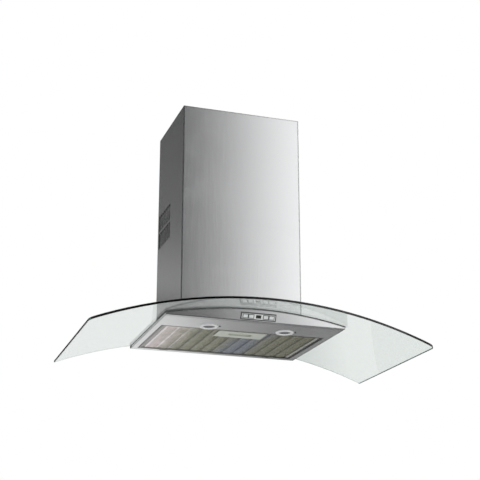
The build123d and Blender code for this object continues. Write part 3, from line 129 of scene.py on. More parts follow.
class FilterSettings(bpy.types.PropertyGroup):
    wire: bpy.props.FloatVectorProperty(
        name="Mesh", description="Colour of the expanded aluminium mesh",
        subtype="COLOR", min=0, max=1, default=(0.53, 0.53, 0.43))
    # This pale pinkish colour is a painted glare at the mesh's left end, standing in for a reflection of
    # bright light.
    clean: bpy.props.FloatVectorProperty(
        name="Clean Mesh", description="Colour of the mesh where it isn't yellowed",
        subtype="COLOR", min=0, max=1, default=(1.0, 0.93, 0.91))
    blued: bpy.props.FloatVectorProperty(
        name="Blued Mesh", description="Colour of the mesh in its blued band",
        subtype="COLOR", min=0, max=1, default=(0.50, 0.53, 0.59))
    # This sets where the painted glare at the mesh's left end fades out along the hood.
    clean_end: bpy.props.FloatProperty(
        name="Clean End", description="Where along the hood the clean end runs out",
        subtype="DISTANCE", unit="LENGTH", default=-0.118)
    cell_length: bpy.props.FloatProperty(
        name="Cell Length", description="Long way across one opening of the mesh",
        subtype="DISTANCE", unit="LENGTH", min=0.002, default=0.0086)
    cell_width: bpy.props.FloatProperty(
        name="Cell Width", description="Short way across one opening of the mesh",
        subtype="DISTANCE", unit="LENGTH", min=0.001, default=0.0048)
    strand: bpy.props.FloatProperty(
        name="Strand", description="Thickness of one strand of the mesh",
        subtype="DISTANCE", unit="LENGTH", min=0.0001, default=0.0008)
    bow: bpy.props.FloatProperty(
        name="Bow", description="How far each band between two pressed lines bulges down",
        subtype="DISTANCE", unit="LENGTH", min=0, default=0.0009)


class ControlSettings(bpy.types.PropertyGroup):
    # These frames are painted shadow of the gaps round the keys and the plate.
    shadow_frame_width: bpy.props.FloatProperty(
        name="Shadow Frame Width", description="Width of the dark frames round the keys and the plate",
        subtype="DISTANCE", unit="LENGTH", min=0.0001, default=0.0014)
    shadow_frame_height: bpy.props.FloatProperty(
        name="Shadow Frame Height", description="How far the frames stand off the plate",
        subtype="DISTANCE", unit="LENGTH", min=0.0001, default=0.0003)
    shadow_frame_gap: bpy.props.FloatProperty(
        name="Shadow Frame Gap", description="Gap between a frame and its moving key",
        subtype="DISTANCE", unit="LENGTH", min=0, default=0.0002)


class StageSettings(bpy.types.PropertyGroup):
    camera_place: bpy.props.FloatVectorProperty(
        name="Camera Place", description="Where the camera stands, low and left of the hood",
        subtype="TRANSLATION", unit="LENGTH", default=(-0.950605, -3.10837, -0.758461))
    camera_turn: bpy.props.FloatVectorProperty(
        name="Camera Turn", description="Tilt, roll and heading of the camera",
        subtype="EULER", unit="ROTATION",
        default=(math.radians(108.732), 0, math.radians(-18.348)))
    lens: bpy.props.FloatProperty(
        name="Lens", description="Focal length on a 36 mm sensor, in millimetres",
        min=1, default=87.869)
    floor_height: bpy.props.FloatProperty(
        name="Floor Height", description="Height of the floor under the hung hood",
        subtype="DISTANCE", unit="LENGTH", default=-1.6)
    floor_color: bpy.props.FloatVectorProperty(
        name="Floor Color", description="Colour of the pale floor",
        subtype="COLOR", min=0, max=1, default=(0.86, 0.86, 0.86))
    room_light: bpy.props.FloatProperty(
        name="Room Light", description="Strength of the even light from all round",
        min=0, default=0.7)
    key_power: bpy.props.FloatProperty(
        name="Key Power", description="Power of the large soft light at the right",
        subtype="POWER", unit="POWER", min=0, default=26)
    top_power: bpy.props.FloatProperty(
        name="Top Power", description="Power of the soft light overhead",
        subtype="POWER", unit="POWER", min=0, default=10)


# ------------------------------------------------------------- node building

def plug(socket, value):
    """Links a socket to the one that feeds it, or sets it to a plain value."""
    if isinstance(value, bpy.types.NodeSocket):
        socket.id_data.links.new(value, socket)
    else:
        socket.default_value = value


def feed(sockets, **values):
    """Plugs values into sockets, which are named as they are or in lower case."""
    for label, value in values.items():
        plug(sockets[label if label in sockets else label.replace("_", " ").title()], value)


def add(tree, kind, inputs=None, **settings):
    """A new node with its settings, and its inputs set to values or linked to sockets."""
    node = tree.nodes.new(kind)
    for name, value in settings.items():
        setattr(node, name, value)
    for name, value in (inputs or {}).items():
        plug(node.inputs[name], value)
    return node


def math_of(tree, operation, *values, clamp=False):
    """The result of one Math node."""
    return add(tree, "ShaderNodeMath", dict(enumerate(values)), operation=operation,
               use_clamp=clamp).outputs[0]


def mixed(tree, factor, first, second, blend="MIX"):
    """Two colours mixed by a factor."""
    return add(tree, "ShaderNodeMix", {0: factor, 6: first, 7: second}, data_type="RGBA",
               blend_type=blend).outputs[2]


def shaded(tree, color, shade):
    """A colour times a grey value."""
    grey = add(tree, "ShaderNodeCombineColor", {0: shade, 1: shade, 2: shade}).outputs[0]
    return mixed(tree, 1.0, color, grey, "MULTIPLY")


def ranged(tree, value, low, high, to_low=0.0, to_high=1.0, smooth=False):
    """A value taken from one range to another and held there."""
    return add(tree, "ShaderNodeMapRange",
               {"Value": value, "From Min": low, "From Max": high, "To Min": to_low, "To Max": to_high},
               interpolation_type="SMOOTHSTEP" if smooth else "LINEAR").outputs["Result"]


def place(tree):
    """The point on the piece, in metres."""
    return add(tree, "ShaderNodeTexCoord").outputs["Object"]


def facing(tree, normal="Normal"):
    """The way that the surface faces."""
    return add(tree, "ShaderNodeNewGeometry").outputs[normal]


def axis(tree, letter, vector=None):
    """One coordinate of a vector, or of the point on the piece."""
    return add(tree, "ShaderNodeSeparateXYZ", {0: vector or place(tree)}).outputs[letter]


def noise(tree, scale, detail, point=None, **more):
    """Noise over the piece, or over another point."""
    return add(tree, "ShaderNodeTexNoise",
               {"Vector": point or place(tree), "Scale": scale, "Detail": detail, **more}).outputs["Fac"]


def cells(tree, scale, output="Distance", **settings):
    """Cells over the piece, as the distance from their middles or as a colour each."""
    return add(tree, "ShaderNodeTexVoronoi", {"Vector": place(tree), "Scale": scale},
               **settings).outputs[output]


def stripes(tree, scale, distortion, direction, ripple=1.0):
    """Wavy stripes over the piece."""
    return add(tree, "ShaderNodeTexWave",
               {"Vector": place(tree), "Scale": scale, "Distortion": distortion, "Detail Scale": ripple},
               bands_direction=direction).outputs["Fac"]


def opaque(color, factor=1.0, lift=0.0):
    """A colour with full alpha, lightened or darkened on the way."""
    return (*(min(1.0, c * factor + lift) for c in color), 1.0)


def new_group(name, inputs, outputs):
    """An empty shader node group with its sockets, and what feeds and leaves it."""
    tree = bpy.data.node_groups.new(name, "ShaderNodeTree")
    for label, kind, default in inputs:
        tree.interface.new_socket(label, in_out="INPUT", socket_type=kind).default_value = default
    for label, kind in outputs:
        tree.interface.new_socket(label, in_out="OUTPUT", socket_type=kind)
    return tree, add(tree, "NodeGroupInput").outputs, add(tree, "NodeGroupOutput").inputs


def brushed_grain():
    """Long fine strokes that lighten, roughen and groove a sheet."""
    tree, given, result = new_group(
        "Brushed Grain",
        [("Color", COLOR, (0.6, 0.6, 0.6, 1)), ("Strokes", VECTOR, (1000, 10, 1000)), ("Fleck", VALUE, 0.1),
         ("Roughness", VALUE, 0.3), ("Streak", VALUE, 0.1)],
        [("Color", COLOR), ("Roughness", VALUE), ("Height", VALUE)])
    stretched = add(tree, "ShaderNodeVectorMath", {0: place(tree), 1: given["Strokes"]},
                    operation="MULTIPLY").outputs[0]
    fine = noise(tree, 1.0, 3.0, stretched, Roughness=0.65)
    drift = math_of(tree, "SUBTRACT", noise(tree, 5.0, 2.0), 0.5)
    both = math_of(tree, "MULTIPLY_ADD", drift, 0.35, math_of(tree, "SUBTRACT", fine, 0.5))
    shade = math_of(tree, "MULTIPLY_ADD", both, given["Fleck"], 1.0)
    feed(result, color=shaded(tree, given["Color"], shade),
         roughness=math_of(tree, "MULTIPLY_ADD", both, given["Streak"], given["Roughness"], clamp=True),
         height=fine)
    return tree


def edge_wear():
    """Masks of convex and folded edges: one broken up as rubbing leaves it, one an even band."""
    tree, given, result = new_group(
        "Edge Wear", [("Width", VALUE, 0.0008), ("Break Up", VALUE, 60.0)],
        [("Mask", VALUE), ("Band", VALUE), ("Rounded Normal", VECTOR)])
    rounded = add(tree, "ShaderNodeBevel", {"Radius": given["Width"]}, samples=4).outputs[0]
    along = add(tree, "ShaderNodeVectorMath", {0: rounded, 1: facing(tree)},
                operation="DOT_PRODUCT").outputs["Value"]
    kept = ranged(tree, noise(tree, given["Break Up"], 4.0), 0.35, 0.6, 0.5, 1.0)
    feed(result, mask=math_of(tree, "MULTIPLY", ranged(tree, along, 0.995, 0.8), kept),
         band=ranged(tree, along, 0.998, 0.965), rounded_normal=rounded)
    return tree


def handling_marks():
    """A mask of wiped patches and faint finger marks."""
    tree, given, result = new_group(
        "Handling Marks", [("Patches", VALUE, 9.0), ("Coverage", VALUE, 0.4)], [("Mask", VALUE)])
    wiped = noise(tree, given["Patches"], 5.0, Roughness=0.55, Distortion=1.2)
    low = math_of(tree, "SUBTRACT", 0.95, given["Coverage"])
    feed(result, mask=ranged(tree, wiped, low, 0.95, smooth=True))
    return tree


def settled_dust():
    """A mask of the fine dust that lies on faces that look up."""
    tree, given, result = new_group(
        "Settled Dust", [("Amount", VALUE, 0.3), ("Speckle", VALUE, 90.0)], [("Mask", VALUE)])
    lying = ranged(tree, axis(tree, "Z", facing(tree)), 0.3, 0.95, smooth=True)
    grains = ranged(tree, noise(tree, given["Speckle"], 6.0), 0.3, 0.7)
    even = math_of(tree, "MULTIPLY", lying, grains)
    feed(result, mask=math_of(tree, "MULTIPLY", even, given["Amount"]))
    return tree


def moulded_skin():
    """The fine pitted skin of a moulded piece, with slow colour drift."""
    tree, given, result = new_group(
        "Moulded Skin",
        [("Color", COLOR, (0.1, 0.1, 0.1, 1)), ("Pits", VALUE, 900.0), ("Drift", VALUE, 0.15),
         ("Roughness", VALUE, 0.5)],
        [("Color", COLOR), ("Roughness", VALUE), ("Height", VALUE)])
    pits = noise(tree, given["Pits"], 2.0)
    drift = math_of(tree, "SUBTRACT", noise(tree, 14.0, 4.0), 0.5)
    shade = math_of(tree, "MULTIPLY_ADD", drift, given["Drift"], 1.0)
    uneven = math_of(tree, "MULTIPLY_ADD", drift, 0.3, given["Roughness"])
    pitted = math_of(tree, "SUBTRACT", pits, 0.5)
    feed(result, color=shaded(tree, given["Color"], shade), height=pits,
         roughness=math_of(tree, "MULTIPLY_ADD", pitted, 0.12, uneven, clamp=True))
    return tree


def tarnish():
    """Masks along the filter: a painted glare at its left end, its blued band, painted highlights on its
    pressed lines inside the glare, and the plain strips beyond its outermost lines."""
    tree, given, result = new_group(
        "Tarnish",
        [("Clean From", VALUE, -0.2), ("Clean To", VALUE, -0.1), ("Blue Middle", VALUE, 0.0),
         ("Blue Reach", VALUE, 0.05), ("First Rib", VALUE, 0.0), ("Half Pitch", VALUE, 0.01)],
        [("Clean", VALUE), ("Blued", VALUE), ("Glint", VALUE), ("Ends", VALUE)])
    # Width of the painted highlights along the pressed lines.
    line_edge, line_faded = 0.0016, 0.0036
    strip_edge, strip_full = 0.003, 0.004
    along = axis(tree, "X")
    patches = noise(tree, 14.0, 4.0, Roughness=0.6)
    drifting = math_of(tree, "MULTIPLY_ADD", math_of(tree, "SUBTRACT", patches, 0.5), 0.1, along)
    # Painted glare: this mask marks the left end of the filter, which the material paints pale as a
    # reflection.
    clean = ranged(tree, drifting, given["Clean From"], given["Clean To"], 1.0, 0.0)
    away = math_of(tree, "ABSOLUTE", math_of(tree, "SUBTRACT", drifting, given["Blue Middle"]))
    share = math_of(tree, "DIVIDE", away, given["Blue Reach"])
    past_first = math_of(tree, "SUBTRACT", along, given["First Rib"])
    off_rib = math_of(tree, "PINGPONG", past_first, given["Half Pitch"])
    pressed = ranged(tree, off_rib, line_edge, line_faded, 1.0, 0.0)
    past_outermost = math_of(tree, "ADD", math_of(tree, "ABSOLUTE", along), given["First Rib"])
    feed(result, clean=clean, blued=ranged(tree, share, 0.0, 1.0, 1.0, 0.0, smooth=True),
         glint=math_of(tree, "MULTIPLY", clean, pressed),
         ends=ranged(tree, past_outermost, strip_edge, strip_full))
    return tree


def effect(tree, build, **inputs):
    """A shared effect placed in a material with its own values."""
    name = build.__name__.replace("_", " ").title()
    node = add(tree, "ShaderNodeGroup", node_tree=bpy.data.node_groups.get(name) or build())
    feed(node.inputs, **inputs)
    return node.outputs


def blank_material(name):
    """A material with only its Principled shader, and its node tree."""
    material = bpy.data.materials.new(name)
    material.use_nodes = True
    return material, material.node_tree


def lay(tree, **values):
    """Plugs values into the Principled shader of a material."""
    feed(tree.nodes["Principled BSDF"].inputs, **values)


def surface(tree, shader):
    """Makes a shader the material's surface."""
    tree.links.new(shader.outputs[0], tree.nodes["Material Output"].inputs["Surface"])


def raised(tree, height, strength, depth, normal=None):
    """The normal of a bumpy face."""
    inputs = {"Height": height, "Strength": strength, "Distance": depth}
    if normal:
        inputs["Normal"] = normal
    return add(tree, "ShaderNodeBump", inputs).outputs[0]


# ------------------------------------------------------------------ finishes

def clear_glass(tree):
    """Tinted float glass: green at its ground edges, with faint wiped marks."""
    glass = bpy.context.scene.hood_glass
    up = math_of(tree, "ABSOLUTE", axis(tree, "Z", facing(tree, "True Normal")))
    ground_edge = math_of(tree, "LESS_THAN", up, 0.7)
    marks = effect(tree, handling_marks, patches=6.0, coverage=0.5)["Mask"]
    lay(tree, base_color=mixed(tree, ground_edge, opaque(glass.tint), opaque(glass.edge_tint)),
        roughness=ranged(tree, marks, 0, 1, 0.0, 0.03), transmission_weight=1.0, IOR=glass.refraction)
    clear = add(tree, "ShaderNodeBsdfTransparent", {"Color": opaque(glass.tint)})
    shadow = add(tree, "ShaderNodeLightPath").outputs["Is Shadow Ray"]
    tinted = tree.nodes["Principled BSDF"].outputs[0]
    surface(tree, add(tree, "ShaderNodeMixShader", {0: shadow, 1: tinted, 2: clear.outputs[0]}))


def brushed_steel(tree, upright=False):
    """Stainless sheet brushed one way, with wiped marks, and a painted dark reflection in a band beside its
    folds and cuts.
    """
    metal = bpy.context.scene.hood_metal
    across, along = 1 / metal.grain_width, 1 / metal.grain_length
    strokes = (across, across, along) if upright else (along, across, across)
    grain = effect(tree, brushed_grain, color=opaque(metal.steel), strokes=strokes, fleck=0.12,
                   roughness=metal.steel_roughness, streak=0.12)
    wear = effect(tree, edge_wear, width=metal.worn_edge, break_up=70.0)
    # Painted dark reflection: beside folds and cuts the colour turns to the near-black fold tint.
    fold_shade_width = metal.fold * (1.1 if upright else 1)
    fold = effect(tree, edge_wear, width=fold_shade_width)["Band"]
    marks = effect(tree, handling_marks, patches=8.0, coverage=0.45)["Mask"]
    lay(tree, base_color=mixed(tree, fold, grain["Color"], opaque(metal.fold_tint)),
        metallic=1.0, roughness=math_of(tree, "MULTIPLY_ADD", marks, 0.07, grain["Roughness"], clamp=True),
        normal=raised(tree, grain["Height"], 0.12, 0.0002, wear["Rounded Normal"]))


def upright_steel(tree):
    """Brushed steel with its grain up the chimney."""
    brushed_steel(tree, upright=True)


def galvanised_sheet(tree):
    """Zinc-coated sheet with its crystals, dust on top and rubbed edges."""
    metal = bpy.context.scene.hood_metal
    rubbed_zinc, dust_color = (0.72, 0.73, 0.74, 1), (0.30, 0.28, 0.25, 1)
    colors = cells(tree, 1 / metal.spangle_size, "Color")
    crystal = add(tree, "ShaderNodeSeparateColor", {0: colors}).outputs[0]
    wear = effect(tree, edge_wear, width=metal.worn_edge, break_up=50.0)
    dust = effect(tree, settled_dust, amount=0.5, speckle=70.0)["Mask"]
    tone = mixed(tree, crystal, opaque(metal.zinc, 0.9), opaque(metal.zinc, 1.08))
    tone = mixed(tree, math_of(tree, "MULTIPLY", wear["Mask"], 0.6), tone, rubbed_zinc)
    rough = math_of(tree, "ADD", ranged(tree, crystal, 0, 1, 0.32, 0.5), math_of(tree, "MULTIPLY", dust, 0.4))
    lay(tree, base_color=mixed(tree, dust, tone, dust_color),
        metallic=ranged(tree, dust, 0, 1, 1.0, 0.3), roughness=rough,
        normal=raised(tree, crystal, 0.1, 0.0002, wear["Rounded Normal"]))


def satin_metal(tree, color, roughness, metallic=1.0):
    """Blasted and plated metal for bezels, keys and screws."""
    skin = effect(tree, moulded_skin, color=opaque(color), pits=1600.0, drift=0.12, roughness=roughness)
    wear = effect(tree, edge_wear, width=0.0003, break_up=160.0)
    lay(tree, base_color=mixed(tree, wear["Mask"], skin["Color"], opaque(color, 1.25)),
        metallic=metallic, roughness=skin["Roughness"],
        normal=raised(tree, skin["Height"], 0.1, 0.0001, wear["Rounded Normal"]))


def plated_key(tree):
    """Satin silvered plastic of the keys and their plate."""
    satin_metal(tree, bpy.context.scene.hood_plastic.keys, 0.38, metallic=0.35)


def bright_bezel(tree):
    """Satin silvered lamp rings."""
    satin_metal(tree, (0.86, 0.87, 0.87), 0.34, metallic=0.4)


def anodised_plate(tree):
    """Pale anodised plate round the finger slot."""
    satin_metal(tree, (0.60, 0.63, 0.56), 0.4, metallic=0.4)


def cup_painted_lighter(tree):
    """The latch's finger cup, paler than its plate: painted light against the shade of its recess."""
    satin_metal(tree, (0.67, 0.70, 0.63), 0.4, metallic=0.34)


def zinc_screw(tree):
    """Bright zinc-plated screws, nuts and the flap rod."""
    satin_metal(tree, (0.66, 0.66, 0.64), 0.26)


def blackened_screw(tree):
    """Blackened screws beside the lamps."""
    satin_metal(tree, (0.05, 0.05, 0.055), 0.4)


def mirror_dish(tree):
    """Pressed and polished aluminium lamp dish with shallow hammered dimples."""
    dimples = cells(tree, 420.0, feature="SMOOTH_F1")
    skin = effect(tree, moulded_skin, color=(0.86, 0.86, 0.84, 1), pits=700.0, drift=0.08, roughness=0.12)
    lay(tree, base_color=skin["Color"], metallic=1.0, roughness=skin["Roughness"],
        normal=raised(tree, dimples, 0.5, 0.0006))


def frosted_lens(tree):
    """Lamp glass, finely frosted and pitted."""
    glass = bpy.context.scene.hood_glass
    skin = effect(tree, moulded_skin, color=(0.42, 0.45, 0.47, 1), pits=1200.0, drift=0.1,
                  roughness=glass.lens_roughness)
    lay(tree, base_color=skin["Color"], roughness=skin["Roughness"], transmission_weight=1.0,
        IOR=glass.refraction, normal=raised(tree, skin["Height"], 0.25, 0.0002))


def plastic(tree, color, roughness, drift=0.2, pits=900.0, dusty=0.0):
    """Moulded plastic with a pitted skin, rubbed edges and dust where it lies up."""
    skin = effect(tree, moulded_skin, color=opaque(color), pits=pits, drift=drift, roughness=roughness)
    wear = effect(tree, edge_wear, width=0.0005, break_up=120.0)
    rubbed = math_of(tree, "MULTIPLY", wear["Mask"], 0.5)
    tone = mixed(tree, rubbed, skin["Color"], opaque(color, 1.5, 0.03))
    if dusty:
        dust = effect(tree, settled_dust, amount=dusty, speckle=110.0)["Mask"]
        tone = mixed(tree, dust, tone, (0.30, 0.29, 0.27, 1))
    lay(tree, base_color=tone, roughness=skin["Roughness"],
        normal=raised(tree, skin["Height"], 0.2, 0.0002, wear["Rounded Normal"]))


def housing_plastic(tree):
    """Black moulded plastic."""
    plastic(tree, bpy.context.scene.hood_plastic.housing, 0.42)


def fan_plastic(tree):
    """Dark glass-filled plastic of the fan wheel and the outlet."""
    plastic(tree, bpy.context.scene.hood_plastic.fan, 0.5, drift=0.35, pits=500.0, dusty=0.35)


def electrics_plastic(tree):
    """Grey flame-resistant plastic of the terminal box and the capacitor."""
    plastic(tree, bpy.context.scene.hood_plastic.electrics, 0.48, dusty=0.3)


def lamp_ceramic(tree):
    """White glazed ceramic with fine grey specks."""
    skin = effect(tree, moulded_skin, color=(0.82, 0.81, 0.78, 1), pits=600.0, drift=0.08, roughness=0.3)
    specks = ranged(tree, cells(tree, 900.0), 0.12, 0.06)
    lay(tree, base_color=mixed(tree, specks, skin["Color"], (0.45, 0.43, 0.40, 1)),
        roughness=skin["Roughness"], normal=raised(tree, skin["Height"], 0.15, 0.0002))


def seal_rubber(tree):
    """Matt black rubber with a bloom of wiped marks."""
    color = bpy.context.scene.hood_plastic.rubber
    skin = effect(tree, moulded_skin, color=opaque(color), pits=700.0, drift=0.4, roughness=0.68)
    marks = effect(tree, handling_marks, patches=40.0, coverage=0.5)["Mask"]
    lay(tree, base_color=mixed(tree, marks, skin["Color"], opaque(color, 2, 0.02)),
        roughness=skin["Roughness"], normal=raised(tree, skin["Height"], 0.3, 0.0003))


def display_pane(tree):
    """Smoked display window with a faint wiped haze."""
    marks = effect(tree, handling_marks, patches=120.0, coverage=0.5)["Mask"]
    skin = effect(tree, moulded_skin, color=(0.012, 0.013, 0.014, 1), pits=300.0, drift=0.2, roughness=0.06)
    lay(tree, base_color=skin["Color"], coat_weight=0.6,
        roughness=math_of(tree, "MULTIPLY_ADD", marks, 0.12, skin["Roughness"], clamp=True))


def circuit_board(tree):
    """Green solder mask over copper tracks, with tinned pads."""
    mask_green, track_green, tin = (0.012, 0.10, 0.045, 1), (0.03, 0.20, 0.09, 1), (0.55, 0.55, 0.52, 1)
    track = add(tree, "ShaderNodeTexBrick",
                {"Vector": place(tree), "Scale": 160.0, "Mortar Size": 0.07, "Brick Width": 0.7,
                 "Row Height": 0.32}).outputs["Fac"]
    pad = ranged(tree, cells(tree, 330.0), 0.22, 0.16)
    lay(tree, base_color=mixed(tree, pad, mixed(tree, track, mask_green, track_green), tin),
        roughness=ranged(tree, pad, 0, 1, 0.3, 0.22), metallic=pad,
        normal=raised(tree, track, 0.3, 0.0001))


def wound_copper(tree):
    """Enamelled copper wire laid side by side."""
    turns = stripes(tree, 260.0, 1.5, "DIAGONAL", ripple=0.4)
    skin = effect(tree, moulded_skin, color=(0.72, 0.32, 0.14, 1), pits=400.0, drift=0.5, roughness=0.3)
    lay(tree, base_color=mixed(tree, turns, (0.22, 0.08, 0.03, 1), skin["Color"]),
        metallic=0.8, roughness=skin["Roughness"], normal=raised(tree, turns, 0.6, 0.0005))


def cored_copper(tree):
    """The lamp transformer's stacked core, with its copper coil standing out at both sides."""
    tolerance = 0.0001
    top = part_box("lamp_transformer")[1].z - tolerance
    core_top = [v.co.y for v in frame["nodes"]["lamp_transformer"].data.vertices if v.co.z > top]
    front, back = min(core_top), max(core_top)
    off = math_of(tree, "ABSOLUTE", math_of(tree, "SUBTRACT", axis(tree, "Y"), (front + back) / 2))
    coil = math_of(tree, "GREATER_THAN", off, (back - front) / 2 + 2 * tolerance)
    sheets = stripes(tree, 320.0, 0.6, "X")
    turns = stripes(tree, 300.0, 1.2, "Z")
    steel = mixed(tree, sheets, (0.16, 0.16, 0.17, 1), (0.30, 0.30, 0.31, 1))
    copper = mixed(tree, turns, (0.20, 0.075, 0.03, 1), (0.62, 0.28, 0.12, 1))
    lay(tree, base_color=mixed(tree, coil, steel, copper), metallic=0.8,
        roughness=ranged(tree, coil, 0, 1, 0.45, 0.3), normal=raised(tree, turns, 0.4, 0.0004))


def rotor_steel(tree):
    """Stacked rotor sheets under a turned shaft, lightly oiled."""
    grain = effect(tree, brushed_grain, color=(0.42, 0.42, 0.43, 1), strokes=(300.0, 2200.0, 300.0),
                   fleck=0.4, roughness=0.34, streak=0.25)
    wear = effect(tree, edge_wear, width=0.0004, break_up=120.0)
    lay(tree, base_color=mixed(tree, wear["Mask"], grain["Color"], (0.7, 0.7, 0.7, 1)),
        metallic=1.0, roughness=grain["Roughness"],
        normal=raised(tree, grain["Height"], 0.35, 0.0003, wear["Rounded Normal"]))


def dull_aluminium(tree, color):
    """Lays the rough grain of the filter's aluminium on a material, and gives its grained colour."""
    grain = effect(tree, brushed_grain, color=color, strokes=(500.0, 500.0, 900.0), fleck=0.6,
                   roughness=0.26, streak=0.3)
    lay(tree, roughness=grain["Roughness"], normal=raised(tree, grain["Height"], 0.15, 0.0003))
    return grain["Color"]


def greasy_aluminium(tree, shade=1.0, painted_glare_shade=None):
    """Dull aluminium of the filter, yellowed by grease, with a blued band, a painted glare at its left end
    with painted highlights along its pressed lines there, and a plain strip at each end, painted lighter at
    the right."""
    colors = bpy.context.scene.hood_filter
    left_strip_shaded, right_strip_lit, glint = (0.58, 0.55, 0.56, 1), (0.76, 0.76, 0.73, 1), (1, 0.98, 0.98, 1)
    half_width = filter_bounds()[1].x
    half_pitch = rib_pitch(half_width) / 2
    greasy_shaded = dull_aluminium(tree, opaque(colors.wire, shade))
    bands = effect(tree, tarnish, clean_from=-0.19, clean_to=colors.clean_end, blue_middle=0.04,
                   blue_reach=0.08, first_rib=half_pitch - half_width, half_pitch=half_pitch)
    # The left end is painted pale with dark speckle and made less metallic, as a painted glare.
    glare_tone = painted_glare_shade or shade
    glare_speckle = ranged(tree, noise(tree, 170.0, 3.0), 0.34, 0.5)
    clean = mixed(tree, glare_speckle, opaque(colors.clean, 0.6 * glare_tone), opaque(colors.clean, glare_tone))
    tone = mixed(tree, bands["Clean"], greasy_shaded, clean)
    tone = mixed(tree, bands["Blued"], tone, opaque(colors.blued, shade))
    # The plain strips beyond the outermost lines are painted lighter at the right end than at the left:
    # painted light.
    strips_lit_at_right = mixed(tree, ranged(tree, axis(tree, "X"), -0.1, 0.1), left_strip_shaded, right_strip_lit)
    tone = mixed(tree, bands["Ends"], tone, strips_lit_at_right)
    dull = ranged(tree, bands["Clean"], 0, 1, 0.85, 0.3)
    # Near-white and less metallic along the pressed lines inside the glare: a painted highlight.
    lay(tree, base_color=mixed(tree, bands["Glint"], tone, glint),
        metallic=math_of(tree, "MULTIPLY_ADD", bands["Glint"], -0.3, dull, clamp=True))


def frame_aluminium(tree):
    """The filter's folded frame, darkened all round as painted shade of the gap beside it, near-black at its
    right end as a painted shadow.
    """
    greasy_shaded = dull_aluminium(tree, opaque(bpy.context.scene.hood_filter.wire, 0.35))
    # Painted shadow: towards the right end the frame turns near-black.
    painted_shadow_right = ranged(tree, axis(tree, "X"), 0.0, 0.2)
    lay(tree, base_color=mixed(tree, painted_shadow_right, greasy_shaded, (0.01, 0.01, 0.011, 1)), metallic=0.85)


def packed_aluminium(tree):
    """The same aluminium packed in layers over the outer mesh, a little darker as painted shade behind the
    mesh.
    """
    greasy_aluminium(tree, shade=0.8)


def shaded_aluminium(tree):
    """The same aluminium in the ribs, darkened as painted shade of the grooves, with painted highlights
    inside the glare.
    """
    greasy_aluminium(tree, shade=0.25, painted_glare_shade=1.0)


def finish(build):
    """The material that a function builds on a blank one, made once and named after it."""
    material = bpy.data.materials.get(build.__name__)
    if not material:
        material, tree = blank_material(build.__name__)
        build(tree)
    return material


def wear_finish(build, *nodes):
    """Gives CAD nodes a finish."""
    for name in nodes:
        for slot in frame["nodes"][name].material_slots:
            slot.material = finish(build)


# ------------------------------------------------------------ filter and keys

def new_object(name, data):
    """An object with its data, linked to the scene."""
    thing = bpy.data.objects.new(name, data)
    bpy.context.scene.collection.objects.link(thing)
    return thing


def new_piece(name, shape, build, body, slot):
    """A new piece made of a bmesh, with its finish and the body it rides on. Its slot is not used."""
    bmesh.ops.recalc_face_normals(shape, faces=shape.faces)
    mesh = bpy.data.meshes.new(name)
    shape.to_mesh(mesh)
    shape.free()
    mesh.materials.append(finish(build))
    piece = new_object(name, mesh)
    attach(piece, body)
    return piece


def add_block(shape, low, high, turn=Matrix.Identity(3)):
    """A block between two corners of a turned grid, added to a bmesh."""
    points = [shape.verts.new(turn @ Vector((x, y, z))) for z in (low[2], high[2])
              for x, y in ((low[0], low[1]), (high[0], low[1]), (high[0], high[1]), (low[0], high[1]))]
    for face in ((3, 2, 1, 0), (4, 5, 6, 7), (0, 1, 5, 4), (1, 2, 6, 5), (2, 3, 7, 6), (3, 0, 4, 7)):
        shape.faces.new([points[k] for k in face])


def filter_bounds():
    """The lowest and highest corners of the CAD mesh slab, and the latch plate's highest corner."""
    return (*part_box("filter_mesh"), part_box("latch_plate")[1])


def rib_pitch(half_width):
    """How far it is from one pressed line to the next."""
    return 2 * half_width / RIB_COUNT


def band_height(x, half_width, bow):
    """How far the mesh lies below its ribs at x."""
    return bow * abs(math.cos(math.pi * (x + half_width) / rib_pitch(half_width)))


def expanded_mesh(settings):
    """Bowed bands of diamond openings between flattened strands."""
    low, high, plate = filter_bounds()
    step_x, step_y = settings.cell_length / 2, settings.cell_width / 2
    columns = int(high.x / step_x) - 1
    rows = int((high.y - low.y) / 2 / step_y) - 1
    middle = (high.y + low.y) / 2
    shape = bmesh.new()
    points = {}

    def point(i, j):
        if (i, j) not in points:
            drop = band_height(i * step_x, high.x, settings.bow)
            points[i, j] = shape.verts.new((i * step_x, middle + j * step_y, low.z + settings.bow - drop))
        return points[i, j]

    for i in range(-columns, columns + 1):
        for j in range(-rows, rows + 1):
            behind_plate = abs(i * step_x) < plate.x + step_x and middle + j * step_y < plate.y + step_y
            if (i + j) % 2 and not behind_plate:
                shape.faces.new((point(i - 1, j), point(i, j - 1), point(i + 1, j), point(i, j + 1)))
    openings = list(shape.faces)
    half_strand = settings.strand * 0.7
    bmesh.ops.inset_individual(shape, faces=openings, thickness=half_strand)
    bmesh.ops.delete(shape, geom=openings, context="FACES")
    return shape


def inner_layers(settings):
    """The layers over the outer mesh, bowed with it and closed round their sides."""
    low, high, plate = filter_bounds()
    under = low.z + settings.bow + settings.strand
    shape = bmesh.new()
    for left, right, front, back in (
            (-high.x, high.x, plate.y, high.y),
            (-high.x, -plate.x, low.y, plate.y), (plate.x, high.x, low.y, plate.y)):
        count = max(2, round(STEPS_PER_BAND * (right - left) / rib_pitch(high.x)))
        rings = []
        for k in range(count + 1):
            x = left + (right - left) * k / count
            z = under - band_height(x, high.x, settings.bow)
            rings.append([shape.verts.new(p) for p in
                          ((x, front, z), (x, back, z), (x, back, high.z), (x, front, high.z))])
        for a, b in zip(rings, rings[1:]):
            for k in range(4):
                m = (k + 1) % 4
                shape.faces.new((a[k], b[k], b[m], a[m]))
        shape.faces.new(rings[0])
        shape.faces.new(reversed(rings[-1]))
    return shape


